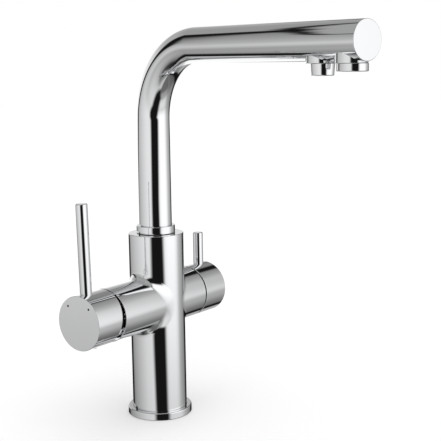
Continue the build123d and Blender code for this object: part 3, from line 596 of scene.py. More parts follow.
def build_mixer_handle(body, handle):
    place = branch_place(-1.0, body.axis)
    rim, knob, inner = body.mixer_rim + handle.gap, handle.knob, handle.knob - handle.wall
    floor = handle.face - handle.face_wall
    slope = math.tan(handle.rake)

    def raked(places, normals):
        """Leans the rim, so that the gap is wider below."""
        heights = (places - place.origin) @ place.axis
        rises = (places - place.origin) @ UP
        near = (heights < rim + RIM_BAND)[..., None]
        moved = places + (near[..., 0] * (knob - rises) * slope)[..., None] * place.axis
        leaned = normals + near * (normals @ place.axis)[..., None] * slope * UP
        return moved, leaned + 0 * places

    skin = Skin()
    runs = outline(
        (0, handle.boss_start), (handle.boss, handle.boss_start), (handle.boss, floor), (inner, floor),
        (inner, rim, body.seam), (knob, rim, body.edge), (knob, handle.face, body.edge),
        (knob - 2 * body.edge, handle.face))
    turned(skin, runs, place, warp=raked)
    # the face with its two sockets for the index dots
    rise = handle.dot_circle * math.sin(handle.dot_rise)
    side = handle.dot_circle * math.cos(handle.dot_rise)
    sockets = [Place((0, y, body.axis + rise), -RIGHT, UP) for y in (-side, side)]
    ring = place.at(knob - 2 * body.edge, handle.face, FULL_TURN[:-1])
    loops = [s.at(handle.dot, handle.face, SMALL_TURN[:-1:4]) for s in sockets]
    skin.flat([ring, *loops], -RIGHT)
    deep, top = handle.face - DOT_DEPTH, handle.face - DOT_SETBACK
    for s in sockets:
        turned(skin, outline((handle.dot, handle.face), (handle.dot, deep), (0, deep)), s, SMALL_TURN[::4])
    shown("mixer_drum", skin.mesh("mixer_drum"), "mixer_handle", "chrome", "chrome_turned", "mixer_knob")

    dots = Skin()
    for s in sockets:
        runs = outline((0, deep), (handle.dot, deep), (handle.dot, top, DOT_ROUNDING), (0, top))
        turned(dots, runs, s, SMALL_TURN[::4])
    shown("index_inlays", dots.mesh("index_inlays"), "mixer_handle", "index", "index_enamel", "index_dots")

    lean = np.array([-math.sin(handle.lean), 0.0, math.cos(handle.lean)])
    rod = Place((-handle.lever_at, 0, body.axis + knob), lean, BACK)
    runs = lever_outline(handle, handle.lever, handle.lever_length, MIXER_STUD_END)
    chrome_turning("mixer_lever_rod", runs, rod, "mixer_handle", "mixer_lever", SMALL_TURN)

    cap = Skin()
    runs = outline(
        (0, -CAP_OUTSIDE), (CAP_RADIUS, -CAP_OUTSIDE, body.edge), (CAP_RADIUS, CAP_INSIDE), (0, CAP_INSIDE))
    turned(cap, runs, Place((-CAP_AT, 0, body.axis - knob), UP, RIGHT), SMALL_TURN)
    shown("screw_cap", cap.mesh("screw_cap"), "mixer_handle", "plug", "chrome_plug", "screw_plug")

    sphere, start = handle.cover, body.mixer_rim
    wide = math.acos((start - handle.pivot) / sphere)
    close = math.asin(COVER_OPENING / sphere)
    crown = handle.pivot + sphere * math.cos(close)
    near, far, end = COVER_SLEEVE
    runs = outline(
        (COVER_OPENING, crown), (COVER_OPENING, crown - COVER_RIM), (near, start), (near, end), (far, end),
        (far, start), (sphere * math.sin(wide), start))
    runs.append(arc(handle.pivot, sphere, wide, close))
    chrome_turning("nut_cover", runs, place, "base", "cartridge_cover")


def build_filter_handle(body, handle):
    place = branch_place(1.0, body.axis)
    rim, knob, inner = body.filter_rim + handle.small_gap, handle.knob, handle.knob - handle.small_wall
    face = handle.small_face
    floor = face - handle.face_wall
    band = (rim + 2 * body.edge, face - 2 * body.edge)
    skin = Skin()
    turned(skin, outline(
        (0, SMALL_BOSS_START), (SMALL_BOSS, SMALL_BOSS_START), (SMALL_BOSS, floor), (inner, floor),
        (inner, rim, body.seam), (knob, rim, body.edge), (knob, band[0])), place)
    turned(skin, outline((knob, band[1]), (knob, face, body.edge), (0, face)), place)
    depth = knob - SMALL_BOSS + KNOB_SCREW_BITE
    pierced(skin, place, knob, *band, handle.small_lever_at, math.pi, KNOB_SCREW_HOLE, depth)
    shown("filter_drum", skin.mesh("filter_drum"), "filter_handle", "chrome", "chrome_turned", "filter_knob")

    rod = Place((handle.small_lever_at, 0, body.axis + knob), UP, BACK)
    runs = lever_outline(handle, handle.small_lever, handle.small_lever_length, FILTER_STUD_END)
    chrome_turning("filter_lever_rod", runs, rod, "filter_handle", "filter_lever", SMALL_TURN)


# ------------------------------------------------------------------ pieces that follow a rule
class Nodes:
    """Adds nodes to a tree and links them up."""

    def __init__(self, tree):
        self.tree = tree

    def node(self, kind, setup=None, **inputs):
        """A new node. Inputs are named as on the node, with _ for a space, or numbered i0, i1, i2."""
        made = self.tree.nodes.new(kind)
        for key, value in (setup or {}).items():
            setattr(made, key, value)
        self.fill(made, **inputs)
        return made

    def fill(self, node, **inputs):
        """Links or sets the inputs of a node that is there already."""
        for label, value in inputs.items():
            numbered = label[0] == "i" and label[1:].isdigit()
            socket = node.inputs[int(label[1:]) if numbered else label.replace("_", " ")]
            if isinstance(value, bpy.types.NodeSocket):
                self.tree.links.new(value, socket)
            else:
                socket.default_value = value

    def first(self, kind, setup=None, **inputs):
        """The first output of a new node."""
        return self.node(kind, setup, **inputs).outputs[0]

    def maths(self, operation, *values, clamp=False):
        setup = {"operation": operation, "use_clamp": clamp}
        return self.first("ShaderNodeMath", setup, **{f"i{k}": v for k, v in enumerate(values)})


class Tree(Nodes):
    """A geometry node tree with named inputs, made in the script."""

    def __init__(self, name, **sizes):
        super().__init__(bpy.data.node_groups.new(name, "GeometryNodeTree"))
        self.tree.interface.new_socket("Geometry", in_out="OUTPUT", socket_type="NodeSocketGeometry")
        self.tree.interface.new_socket("Geometry", in_out="INPUT", socket_type="NodeSocketGeometry")
        self.sockets, self.sizes = {}, dict(sizes)
        for label, value in sizes.items():
            kind = {int: "NodeSocketInt", float: "NodeSocketFloat", tuple: "NodeSocketVector"}[type(value)]
            self.add_input(label, kind)
        self.add_input("material", "NodeSocketMaterial")
        self.entry = self.tree.nodes.new("NodeGroupInput")
        self.exit = self.tree.nodes.new("NodeGroupOutput")

    def add_input(self, label, kind):
        socket = self.tree.interface.new_socket(label.replace("_", " "), in_out="INPUT", socket_type=kind)
        self.sockets[label] = socket.identifier

    def size(self, label):
        return self.entry.outputs[label.replace("_", " ")]

    def swept(self, path, section, caps=False):
        return self.first("GeometryNodeCurveToMesh", Curve=path, Profile_Curve=section, Fill_Caps=caps)

    def lifted(self, geometry, rise):
        lift = self.first("ShaderNodeCombineXYZ", Z=rise)
        return self.first("GeometryNodeTransform", Geometry=geometry, Translation=lift)

    def finish(self, geometry):
        """Ends the tree: made real, and with its material."""
        solid = self.first("GeometryNodeRealizeInstances", Geometry=geometry)
        coated = self.first("GeometryNodeSetMaterial", Geometry=solid, Material=self.size("material"))
        self.fill(self.exit, Geometry=coated)

    def plain(self, name, material, points, edges=()):
        """Runs the tree over a line of points and returns a plain mesh."""
        base = bpy.data.meshes.new(name + "_path")
        base.from_pydata([tuple(p) for p in points], list(edges), [])
        carrier = bpy.data.objects.new(name + "_path", base)
        bpy.context.scene.collection.objects.link(carrier)
        modifier = carrier.modifiers.new(name, "NODES")
        modifier.node_group = self.tree
        for label, value in self.sizes.items():
            modifier[self.sockets[label]] = value
        modifier[self.sockets["material"]] = bpy.data.materials[material]
        carrier.update_tag()
        bpy.context.view_layer.update()
        graph = bpy.context.evaluated_depsgraph_get()
        mesh = bpy.data.meshes.new_from_object(carrier.evaluated_get(graph), depsgraph=graph)
        mesh.name = name
        bpy.data.objects.remove(carrier)
        bpy.data.meshes.remove(base)
        if not mesh.polygons:
            raise RuntimeError(f"{name} came out empty")
        return mesh


def spout_direction(spout):
    return np.array([-math.sin(spout.swing), -math.cos(spout.swing), 0.0])


def tube_normals(mesh, spout):
    """The true normal of a bent tube at each corner of its mesh, flat on its two ends."""
    ahead = spout_direction(spout)
    bend_start = spout.arm - spout.bend
    points = np.empty(len(mesh.vertices) * 3)
    mesh.vertices.foreach_get("co", points)
    points = points.reshape(-1, 3)
    along = points @ ahead
    # the nearest point of the tube's axis, on each of its three parts
    on_upright = np.stack([0 * along, 0 * along, points[:, 2]], axis=1)
    on_arm = points * 0 + ahead * np.maximum(along, spout.bend)[:, None] + spout.arm * UP
    hub = ahead * spout.bend + bend_start * UP
    radial = (points - hub) @ np.stack([ahead, UP], axis=1)
    on_bend = hub + spout.bend * (unit(radial) @ np.stack([ahead, UP]))
    past_bend = (along >= spout.bend - 10 * WELD)[:, None]
    below_bend = (points[:, 2] <= bend_start + 10 * WELD)[:, None]
    middles = np.where(past_bend, on_arm, np.where(below_bend, on_upright, on_bend))
    out = unit(points - middles)
    normals = []
    for face in mesh.polygons:
        cap = len(face.vertices) > 4
        normals += [tuple(face.normal) if cap else tuple(out[v]) for v in face.vertices]
    mesh.shade_smooth()
    mesh.normals_split_custom_set(normals)


def build_spout(body, spout):
    ahead = spout_direction(spout)
    edge = spout.reach - spout.cap
    tree = Tree("bent_tube", bend_radius=spout.bend, bend_steps=spout.bend_steps, tube_radius=spout.tube,
                round_steps=spout.round_steps)
    line = tree.first("GeometryNodeMeshToCurve", Mesh=tree.entry.outputs["Geometry"])
    bent = tree.first("GeometryNodeFilletCurve", {"mode": "POLY"}, Curve=line, Count=tree.size("bend_steps"),
                      Radius=tree.size("bend_radius"))
    circle = tree.first("GeometryNodeCurvePrimitiveCircle", Resolution=tree.size("round_steps"),
                        Radius=tree.size("tube_radius"))
    tree.finish(tree.swept(bent, circle, caps=True))
    path = [(0, 0, SPOUT_FOOT), (0, 0, spout.arm), tuple(ahead * edge + spout.arm * UP)]
    mesh = tree.plain("spout_pipe", "chrome_tube", path, [(0, 1), (1, 2)])
    outward(mesh)
    tube_normals(mesh, spout)
    shown("spout_pipe", mesh, "spout", "chrome", "chrome_tube", "spout_tube")

    plug, inside = END_PLUG
    runs = outline((0, edge - inside), (plug, edge - inside), (plug, edge), (spout.tube, edge),
                   (spout.tube, spout.reach, body.edge), (0, spout.reach))
    chrome_turning("arm_end_cap", runs, Place(spout.arm * UP, ahead, UP), "spout", "spout_end_cap")

    low, high = lowest("spout_collar").z, highest("spout_collar").z
    runs = outline(
        (SPOUT_SOCKET, low), (spout.collar, low, body.seam), (spout.collar, high, body.edge),
        (spout.tube, high, body.seam), (spout.tube, SPOUT_FOOT), (SPOUT_SOCKET, SPOUT_FOOT), closed=True)
    chrome_turning("swivel_collar", runs, column_place(), "spout", "spout_collar")


def outward(mesh):
    """Turns every face of a closed mesh outwards."""
    shape = bmesh.new()
    shape.from_mesh(mesh)
    bmesh.ops.remove_doubles(shape, verts=shape.verts, dist=WELD)
    bmesh.ops.recalc_face_normals(shape, faces=shape.faces)
    shape.to_mesh(mesh)
    shape.free()


def saddled_boss(name, spout, body, at, shift, outer, bore, node):
    """A short upright stub whose top fits round the arm."""
    ahead = spout_direction(spout)
    side = np.cross(UP, ahead)
    stub = Place((at - shift) * ahead, UP, ahead)
    hole = Place(at * ahead, UP, ahead)
    skin = Skin()
    low, edge = spout.outlet_low, body.edge

    def saddle(points):
        """Lifts points to the underside of the tube."""
        across = points @ side
        heights = spout.arm - np.sqrt(spout.tube ** 2 - across ** 2) + SADDLE_OVERLAP
        return points - (points @ UP)[:, None] * UP + heights[:, None] * UP

    turned(skin, outline((outer - 2 * edge, low), (outer, low, edge), (outer, low + 2 * edge)), stub)
    skin.grid(np.array([hole.at(bore, low, FULL_TURN), stub.at(outer - 2 * edge, low, FULL_TURN)]), -UP)
    wall_top = saddle(stub.at(outer, low, FULL_TURN))
    skin.grid(np.array([stub.at(outer, low + 2 * edge, FULL_TURN), wall_top]), stub.around(FULL_TURN))
    bore_top = saddle(hole.at(bore, low, FULL_TURN))
    skin.grid(np.array([hole.at(bore, low, FULL_TURN), bore_top]), -hole.around(FULL_TURN))
    rows = [saddle(bore_top + part * (wall_top - bore_top)) for part in np.linspace(0.0, 1.0, SADDLE_ROWS)]
    axis = [row - (row @ UP)[:, None] * UP - (row @ side)[:, None] * side + spout.arm * UP for row in rows]
    skin.grid(np.array(rows), unit(np.array(axis) - np.array(rows)))
    shown(name, skin.mesh(name), "spout", "chrome", "chrome_turned", node)


def build_outlets(body, spout):
    ahead = spout_direction(spout)
    low = spout.outlet_low
    neck = low + OUTLET_NECK
    saddled_boss("main_boss", spout, body, spout.main_at, spout.main_shift, spout.main_boss,
                 spout.main_thread, "main_outlet_boss")
    saddled_boss("filter_boss", spout, body, spout.filter_at, spout.filter_shift, spout.filter_boss,
                 spout.nozzle_thread, "filter_outlet_boss")

    main = Place(spout.main_at * ahead, UP, RIGHT)
    foot = lowest("aerator_housing").z
    bore = spout.main_thread - AERATOR_WALL
    mouth, shelf = bore - AERATOR_LIP, foot + AERATOR_LIP
    runs = outline(
        (mouth, foot, MOUTH_ROUNDING), (spout.main_ring, foot, spout.lip), (spout.main_ring, low, body.seam),
        (spout.main_thread, low), (spout.main_thread, neck), (bore, neck), (bore, shelf), (mouth, shelf),
        closed=True)
    chrome_turning("aerator_ring", runs, main, "spout", "aerator_housing")

    small = Place(spout.filter_at * ahead, UP, RIGHT)
    foot = lowest("filter_nozzle").z
    slim = spout.nozzle - spout.taper
    bore = slim - NOZZLE_WALL
    runs = outline(
        (bore, foot, MOUTH_ROUNDING), (slim, foot, spout.lip), (spout.nozzle, low, body.seam),
        (spout.nozzle_thread, low), (spout.nozzle_thread, neck), (NOZZLE_TUBE, neck), (NOZZLE_TUBE, low),
        (bore, low), closed=True)
    chrome_turning("filter_spout_nozzle", runs, small, "spout", "filter_nozzle")

    build_aerator(spout, main)


def build_aerator(spout, main):
    """The cage in the aerator: a ring with ribs across it, and a floor behind them."""
    low, high = lowest("aerator_insert").z, highest("aerator_insert").z
    outer = spout.main_thread - AERATOR_WALL
    opening = outer - CAGE_RING
    count = 2 * int(opening / spout.rib_pitch) + 1
    tree = Tree("aerator_cage", outer_radius=outer, opening=opening, rib_pitch=spout.rib_pitch,
                rib_width=spout.rib_width, rib_count=count, height=high - low)
    half = tree.maths("MULTIPLY", tree.size("height"), 0.5)
    # ribs: bars as long as the chord that they span, and a little longer, so that they end in the ring
    span = tree.maths("MULTIPLY", tree.maths("SUBTRACT", tree.size("rib_count"), 1.0), tree.size("rib_pitch"))
    start = tree.first("ShaderNodeCombineXYZ", X=tree.maths("MULTIPLY", span, -0.5))
    step = tree.first("ShaderNodeCombineXYZ", X=tree.size("rib_pitch"))
    line = tree.first("GeometryNodeMeshLine", Count=tree.size("rib_count"), Start_Location=start, Offset=step)
    bar = tree.first("GeometryNodeMeshCube", Size=(1, 1, 1))
    spot = tree.first("ShaderNodeSeparateXYZ", i0=tree.first("GeometryNodeInputPosition"))
    squares = [tree.maths("POWER", value, 2.0) for value in (tree.size("opening"), spot)]
    room = tree.maths("SUBTRACT", *squares)
    chord = tree.maths("MULTIPLY_ADD", tree.maths("SQRT", room), 2.0, CAGE_OVERLAP)
    size = tree.first("ShaderNodeCombineXYZ", X=tree.size("rib_width"), Y=chord, Z=half)
    ribs = tree.first("GeometryNodeInstanceOnPoints", Points=line, Instance=bar, Scale=size)
    ribs = tree.lifted(ribs, tree.maths("MULTIPLY", half, 0.5))
    # ring: a rectangle swept round the axis
    width = tree.maths("SUBTRACT", tree.size("outer_radius"), tree.size("opening"))
    middle = tree.maths("MULTIPLY", tree.maths("ADD", tree.size("outer_radius"), tree.size("opening")), 0.5)
    circle = tree.first("GeometryNodeCurvePrimitiveCircle", Resolution=CAGE_STEPS, Radius=middle)
    section = tree.first("GeometryNodeCurvePrimitiveQuadrilateral", Width=width, Height=tree.size("height"))
    ring = tree.lifted(tree.swept(circle, section), half)
    # floor: a disc behind the ribs
    disc = tree.first("GeometryNodeMeshCylinder", Vertices=CAGE_STEPS, Radius=tree.size("opening"),
                      Depth=CAGE_FLOOR)
    disc = tree.lifted(disc, tree.maths("ADD", half, CAGE_FLOOR / 2))
    join = tree.node("GeometryNodeJoinGeometry")
    for part in (ribs, ring, disc):
        tree.fill(join, Geometry=part)
    tree.finish(join.outputs[0])
    mesh = tree.plain("aerator_cage", "aerator_plastic", [(0, 0, 0)])
    place = Matrix.Translation(Vector(main.origin) + Vector((0, 0, low)))
    mesh.transform(place @ Matrix.Rotation(-spout.swing, 4, "Z"))
    outward(mesh)
    mesh.set_sharp_from_angle(angle=math.radians(40))
    shown("aerator_cage", mesh, "spout", "aerator_plastic", "aerator_plastic", "aerator_insert")


def build_threads(threads):
    """Ridges wound round the inside of each threaded hole."""
    places = [("shank_thread_ridge", (0, 0), 0.0, threads.shank + SHANK_RIDGE, threads.shank_length,
               threads.shank_pitch, SHANK_RIDGE, "chrome", "chrome_cast")]
    for name in ("filter_inlet", "hot_inlet", "cold_inlet"):
        low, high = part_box(name)
        middle = (low + high) / 2
        places.append((name + "_ridge", (middle.x, middle.y), low.z, threads.hose + HOSE_CLEARANCE,
                       threads.hose_length, threads.hose_pitch, HOSE_RIDGE, "brass", "turned_brass"))
    for name, at, low, radius, tall, pitch, ridge, slot, material in places:
        tree = Tree(name, thread_radius=radius, thread_length=tall - pitch, pitch=pitch, ridge=ridge,
                    steps=THREAD_STEPS)
        turns = tree.maths("DIVIDE", tree.size("thread_length"), tree.size("pitch"))
        helix = tree.first(
            "GeometryNodeCurveSpiral", Resolution=tree.size("steps"), Rotations=turns,
            Start_Radius=tree.size("thread_radius"), End_Radius=tree.size("thread_radius"),
            Height=tree.size("thread_length"))
        section = tree.first("GeometryNodeCurvePrimitiveCircle", Resolution=RIDGE_STEPS,
                             Radius=tree.size("ridge"))
        tree.finish(tree.swept(helix, section, caps=True))
        mesh = tree.plain(name, material, [(0, 0, 0)])
        mesh.transform(Matrix.Translation((*at, low + pitch / 2)))
        outward(mesh)
        mesh.set_sharp_from_angle(angle=math.radians(60))
        shown(name, mesh, "base", slot, material)


# ------------------------------------------------------------------ finishes
class Shader(Nodes):
    """The nodes of a material, a world or a shared effect."""

    def dot(self, one, other):
        made = self.node("ShaderNodeVectorMath", {"operation": "DOT_PRODUCT"}, i0=one, i1=other)
        return made.outputs["Value"]

    def mix(self, factor, low, high):
        return self.first("ShaderNodeMix", {"data_type": "FLOAT"}, Factor=factor, A=low, B=high)

    def ramp(self, factor, stops):
        made = self.node("ShaderNodeValToRGB", Fac=factor)
        elements = made.color_ramp.elements
        while len(elements) < len(stops):
            elements.new(1.0)
        for element, (place, value) in zip(elements, stops):
            element.position = place
            element.color = (value, value, value, 1.0)
        return made.outputs[0]

    def curve(self, value, stops, low, high):
        """A value that follows a few stops of (place, value), held at its ends."""
        least, most = min(v for _, v in stops), max(v for _, v in stops)
        share = self.maths("MULTIPLY_ADD", value, 1.0 / (high - low), -low / (high - low))
        made = self.ramp(share, [((p - low) / (high - low), (v - least) / (most - least)) for p, v in stops])
        return self.maths("MULTIPLY_ADD", made, float(most - least), float(least))

    def step(self, value, start, end):
        """A smooth step from 0 at the start to 1 at the end."""
        setup = {"interpolation_type": "SMOOTHSTEP"}
        return self.first("ShaderNodeMapRange", setup, Value=value, From_Min=start, From_Max=end)


def shared_effect(name, inputs, outputs):
    """A node group with named inputs and outputs: its helper, what it is given, and where it ends."""
    tree = bpy.data.node_groups.new(name, "ShaderNodeTree")
    for label, value in inputs.items():
        kind = "NodeSocketColor" if isinstance(value, tuple) else "NodeSocketFloat"
        tree.interface.new_socket(label, in_out="INPUT", socket_type=kind).default_value = value
    for label, kind in outputs.items():
        tree.interface.new_socket(label, in_out="OUTPUT", socket_type=kind)
    return Shader(tree), tree.nodes.new("NodeGroupInput").outputs, tree.nodes.new("NodeGroupOutput")


EDGE_GAIN = 3.0
EDGE_LIFT = 0.4  # added to the patches, so that every edge wears a little
WORN_ROUGHNESS = 0.12
LEAST_ROUGHNESS = 0.01
PAINTED_SHADE_STEP = (0.2, 0.65)  # how open a spot is where the painted shade in crevices is darkest, and where that painted shade ends
BUMP_DEPTH = 0.0001


def make_surface_effect():
    """Patches, fine scratches, worn edges and painted shade in crevices and gaps, shared by all the finishes.
    """
    # the last two inputs set the painted shade in crevices: how far it reaches and how dark it gets
    inputs = {
        "Colour": (0.8, 0.8, 0.8, 1.0), "Worn colour": (0.7, 0.7, 0.7, 1.0), "Roughness": 0.3,
        "Patch size": 60.0, "Patch strength": 0.1, "Scratch size": 900.0, "Scratch depth": 0.1,
        "Edge width": 0.0004, "Edge wear": 0.3, "Painted shade width": 0.003, "Painted shade strength": 0.95,
    }
    outputs = {"Colour": "NodeSocketColor", "Roughness": "NodeSocketFloat", "Height": "NodeSocketFloat"}
    build, given, end = shared_effect("wear_and_painted_shade", inputs, outputs)
    spot = build.node("ShaderNodeTexCoord").outputs["Object"]
    patches = build.first("ShaderNodeTexNoise", Vector=spot, Scale=given["Patch size"], Detail=3.0,
                          Roughness=0.55)
    stretch = build.first("ShaderNodeMapping", Vector=spot, Scale=(1.0, 1.0, 0.12))
    scratches = build.first("ShaderNodeTexNoise", Vector=stretch, Scale=given["Scratch size"], Detail=2.0)
    # an edge is where the rounded normal turns away from the flat one
    soft = build.first("ShaderNodeBevel", {"samples": 4}, Radius=given["Edge width"])
    turned_by = build.dot(soft, build.node("ShaderNodeNewGeometry").outputs["Normal"])
    edge = build.maths("MULTIPLY", build.maths("SUBTRACT", 1.0, turned_by), EDGE_GAIN, clamp=True)
    rough_edge = build.maths("MULTIPLY", edge, build.maths("ADD", patches, EDGE_LIFT))
    worn = build.maths("MULTIPLY", rough_edge, given["Edge wear"], clamp=True)
    patch = build.maths("MULTIPLY", build.maths("SUBTRACT", patches, 0.5), given["Patch strength"])
    # a colour mix has its factor at 0, its two colours at 6 and 7, and its result at 2
    mixed = build.node("ShaderNodeMix", {"data_type": "RGBA"}, i0=worn, i6=given["Colour"],
                       i7=given["Worn colour"]).outputs[2]
    # painted shade: ambient occlusion darkens the colour in crevices, recesses and the gaps between parts,
    # where shade falls
    around = build.node("ShaderNodeAmbientOcclusion", {"samples": 8}, Distance=given["Painted shade width"])
    closed = build.maths("SUBTRACT", 1.0, build.step(around.outputs["AO"], *PAINTED_SHADE_STEP))
    painted_shade = build.maths("MULTIPLY", closed, given["Painted shade strength"])
    # the random patches vary the tone, and the painted shade darkens the crevices
    level = build.maths("MULTIPLY", build.maths("ADD", 1.0, patch), build.maths("SUBTRACT", 1.0, painted_shade))
    shade = build.first("ShaderNodeVectorMath", {"operation": "SCALE"}, i0=mixed, Scale=level)
    rough = build.maths("MULTIPLY_ADD", patch, given["Roughness"], given["Roughness"])
    rough = build.maths("MULTIPLY_ADD", worn, WORN_ROUGHNESS, rough)
    rough = build.maths("MAXIMUM", rough, LEAST_ROUGHNESS)
    depth = build.maths("MULTIPLY", scratches, given["Scratch depth"])
    build.fill(end, Colour=shade, Roughness=rough, Height=depth)
    return build.tree


def finish(name, effect, base, worn, rough, metallic=0.0, bump=0.02, settings=(), **values):
    """A material with the shared wear and the painted shade in crevices feeding its colour, roughness and
    bump.
    """
    material = bpy.data.materials.new(name)
    material.use_nodes = True
    material.diffuse_color = (*base[:3], 1.0)
    build = Shader(material.node_tree)
    given = {label.capitalize(): value for label, value in values.items()}
    # these outputs carry the shared wear together with the painted shade in crevices
    wear = build.node("ShaderNodeGroup", {"node_tree": effect}, Colour=(*base[:3], 1.0),
                      Worn_colour=(*worn[:3], 1.0), Roughness=rough, **given).outputs
    relief = build.first("ShaderNodeBump", Strength=bump, Distance=BUMP_DEPTH, Height=wear["Height"])
    build.fill(material.node_tree.nodes["Principled BSDF"], Base_Color=wear["Colour"],
               Roughness=wear["Roughness"], Normal=relief, Metallic=metallic, **dict(settings))


# the material of each of the record's slots, for the nodes that are carried over
CARRIED = {
    "chrome": "chrome_cast", "brass": "turned_brass", "rubber": "soft_rubber",
    "cartridge_plastic": "cartridge_plastic", "ceramic": "lapped_ceramic", "steel": "plain_steel",
    "aerator_plastic": "aerator_plastic", "slip_plastic": "slip_plastic", "water_tube": "tube_plastic",
    "plug": "chrome_plug", "index": "index_enamel",
}


def build_finishes(look):
    effect = make_surface_effect()
    chrome, dark = tuple(look.chrome), (0.62, 0.63, 0.66)
    for name, size in (("chrome_cast", 38.0), ("chrome_turned", 55.0), ("chrome_tube", 30.0)):
        finish(name, effect, chrome, dark, look.polish, 1.0, bump=0.012, patch_size=size, patch_strength=0.03,
               scratch_size=700.0, edge_wear=0.25, edge_width=0.0003)
    finish("chrome_plug", effect, chrome, dark, 0.08, 1.0, bump=0.03, patch_size=80.0, patch_strength=0.06)
    finish("turned_brass", effect, tuple(look.brass), (0.62, 0.45, 0.22), 0.28, 1.0, bump=0.10,
           patch_size=90.0, patch_strength=0.25, scratch_size=1600.0, edge_wear=0.6)
    finish("plain_steel", effect, (0.56, 0.56, 0.57), (0.40, 0.40, 0.42), 0.26, 1.0, bump=0.08,
           patch_strength=0.18)
    finish("soft_rubber", effect, tuple(look.rubber), (0.06, 0.06, 0.06), 0.62, bump=0.20, patch_size=220.0,
           patch_strength=0.3, scratch_size=2600.0)
    finish("cartridge_plastic", effect, (0.16, 0.17, 0.19), (0.26, 0.27, 0.29), 0.42, bump=0.12,
           patch_strength=0.15)
    finish("lapped_ceramic", effect, (0.82, 0.80, 0.76), (0.70, 0.68, 0.64), 0.16, bump=0.03,
           patch_size=140.0, patch_strength=0.06)
    finish("aerator_plastic", effect, (0.62, 0.63, 0.64), (0.74, 0.75, 0.76), 0.38, bump=0.12,
           patch_strength=0.12, patch_size=180.0)
    finish("slip_plastic", effect, (0.10, 0.10, 0.105), (0.20, 0.20, 0.21), 0.34, bump=0.06,
           patch_strength=0.12)
    finish("tube_plastic", effect, (0.78, 0.79, 0.80), (0.66, 0.67, 0.68), 0.32, bump=0.05,
           patch_strength=0.08, settings={"Subsurface_Weight": 0.1})
    finish("index_enamel", effect, tuple(look.dot), (0.06, 0.06, 0.07), 0.4, bump=0.03, patch_strength=0.2,
           patch_size=900.0, settings={"Specular_IOR_Level": 0.05})
    slots = {part["node"]: part["material_slot"] for part in frame["record"]["subparts"]}
    for name, node in frame["nodes"].items():
        material = bpy.data.materials[CARRIED[slots[name]]]
        if node.material_slots:
            for holder in node.material_slots:
                holder.material = material
        else:
            node.data.materials.append(material)


# ------------------------------------------------------------------ studio
FLOOR_RADIUS = 6.0
FLOOR_STEPS = 64
FLOOR_DROP = 0.0001
LAMP_AT = (-0.3, -0.4, 1.7)
CAMERA_CLIP = (0.05, 50.0)
CAMERA_AT = (-0.65362, -0.55737, 0.30845)
CAMERA_RIGHT = (0.59598, -0.80288, -0.01397)
CAMERA_UP = (0.13634, 0.08403, 0.98709)

# The studio that the chrome mirrors, in degrees. Azimuths are measured from the camera, positive to its
# right, and elevations from the horizon. Two tall soft panels stand either side of a dark gap, and dark
# posts part them from the bright backdrop behind the tap.
#
# PANELS, levels of light, and CEILING, the height where the ceiling starts, go by azimuth. The others go by
# elevation: the SHAREs and the BEHINDs are levels, GAPs and POSTs are azimuths, SOFT and HALFs half widths.
PANELS = (
    (-180, 0.32), (-150, 0.34), (-129, 0.40), (-105, 0.51), (-81, 0.61), (-57, 0.71), (-45, 0.75),
    (30, 0.75), (45, 0.92), (54, 1.0), (80, 1.0), (88, 0.94), (96, 0.82), (105, 0.67), (123, 0.46),
    (140, 0.34), (180, 0.30),
)
LEFT_SHARE = (
    (-60, 0.20), (-50, 0.60), (-40, 0.76), (-30, 0.82), (-20, 0.79), (-15, 0.88), (-10, 0.98), (-5, 1.0),
    (3, 0.88), (19, 0.77), (60, 0.6),
)
FAR_SHARE = (
    (-60, 0.25), (-45, 0.29), (-34, 0.50), (-27, 0.60), (-17, 0.62), (-7, 0.88), (-2, 0.86), (4, 0.76),
    (12, 0.72), (20, 0.78), (26, 0.82), (38, 0.66), (60, 0.6),
)
RIGHT_SHARE = (
    (-60, 0.13), (-54, 0.14), (-49, 0.30), (-41, 0.36), (-36, 0.62), (-30, 0.70), (-20, 0.64),
    (-15, 0.84), (-10, 0.98), (-7, 1.0), (40, 1.0), (60, 0.6),
)
GAP_LEFT = (
    (-60, 20), (-52, 2), (-45, -5), (-24, -9), (-17, -17), (-13, -20), (-8, -19.5), (-3.4, -14), (60, -10),
)
GAP_RIGHT = (
    (-60, 10), (-52, 36), (-42, 48), (-31, 43), (-18, 37), (-12, 34.5), (-8, 31), (-3.4, 39), (60, 40),
)
GAP_SOFT = ((-60, 20), (-45, 12), (-32, 10), (-24, 9), (-19, 8), (60, 8))
POST_LEFT = (
    (-60, -127), (-34, -127), (-28, -130), (-24, -140), (-19.5, -150), (-10, -151), (-8.5, -162),
    (-7, -152), (-5, -138), (-3.4, -124), (8, -113), (38, -120), (60, -125),
)
LEFT_HALF = (
    (-60, 8), (-34, 8), (-28, 9), (-24, 11), (-19, 18), (-16, 17), (-10, 14), (-9, 9), (-3, 8), (20, 8),
    (34, 5), (60, 5),
)
POST_RIGHT = (
    (-60, 151), (-36, 151), (-30, 154), (-24, 161), (-17, 160), (-12, 156), (-3, 155), (20, 150), (60, 148),
)
RIGHT_HALF = ((-60, 8), (-32, 8), (-24, 12), (-19, 17), (-10, 15), (-3, 9), (20, 9), (36, 10), (60, 10))
BEHIND = (
    (-60, 0.45), (-44, 0.60), (-38, 0.90), (-30, 0.95), (0, 0.92), (6, 0.80), (12, 0.64), (16, 0.50),
    (20, 0.40), (28, 0.38), (34, 0.32), (40, 0.29), (60, 0.29),
)
BEHIND_RIGHT = ((-60, 0.42), (20, 0.42), (34, 0.72), (60, 0.72))
CEILING = (
    (-180, 47), (-160, 46), (-140, 45), (-120, 41), (-108, 33), (-100, 24), (-92, 24), (-86, 50), (180, 50),
)
CEILING_LEVEL = 0.33
CEILING_SOFT = 2.0
FAR_START, FAR_END = 94.0, 110.0  # where the right panel's far part takes over
LEFT_FALL = -1.0 / 60.0, 0.33  # how the left panel's shading grows with the distance to its left
POST_CORE, POST_END = 0.5, 1.5  # a post is darkest within the first, and gone beyond the second
DARKEST = 0.008
GAIN = 1.11
LOW, HIGH = -60.0, 60.0
DEGREES = 180.0 / math.pi


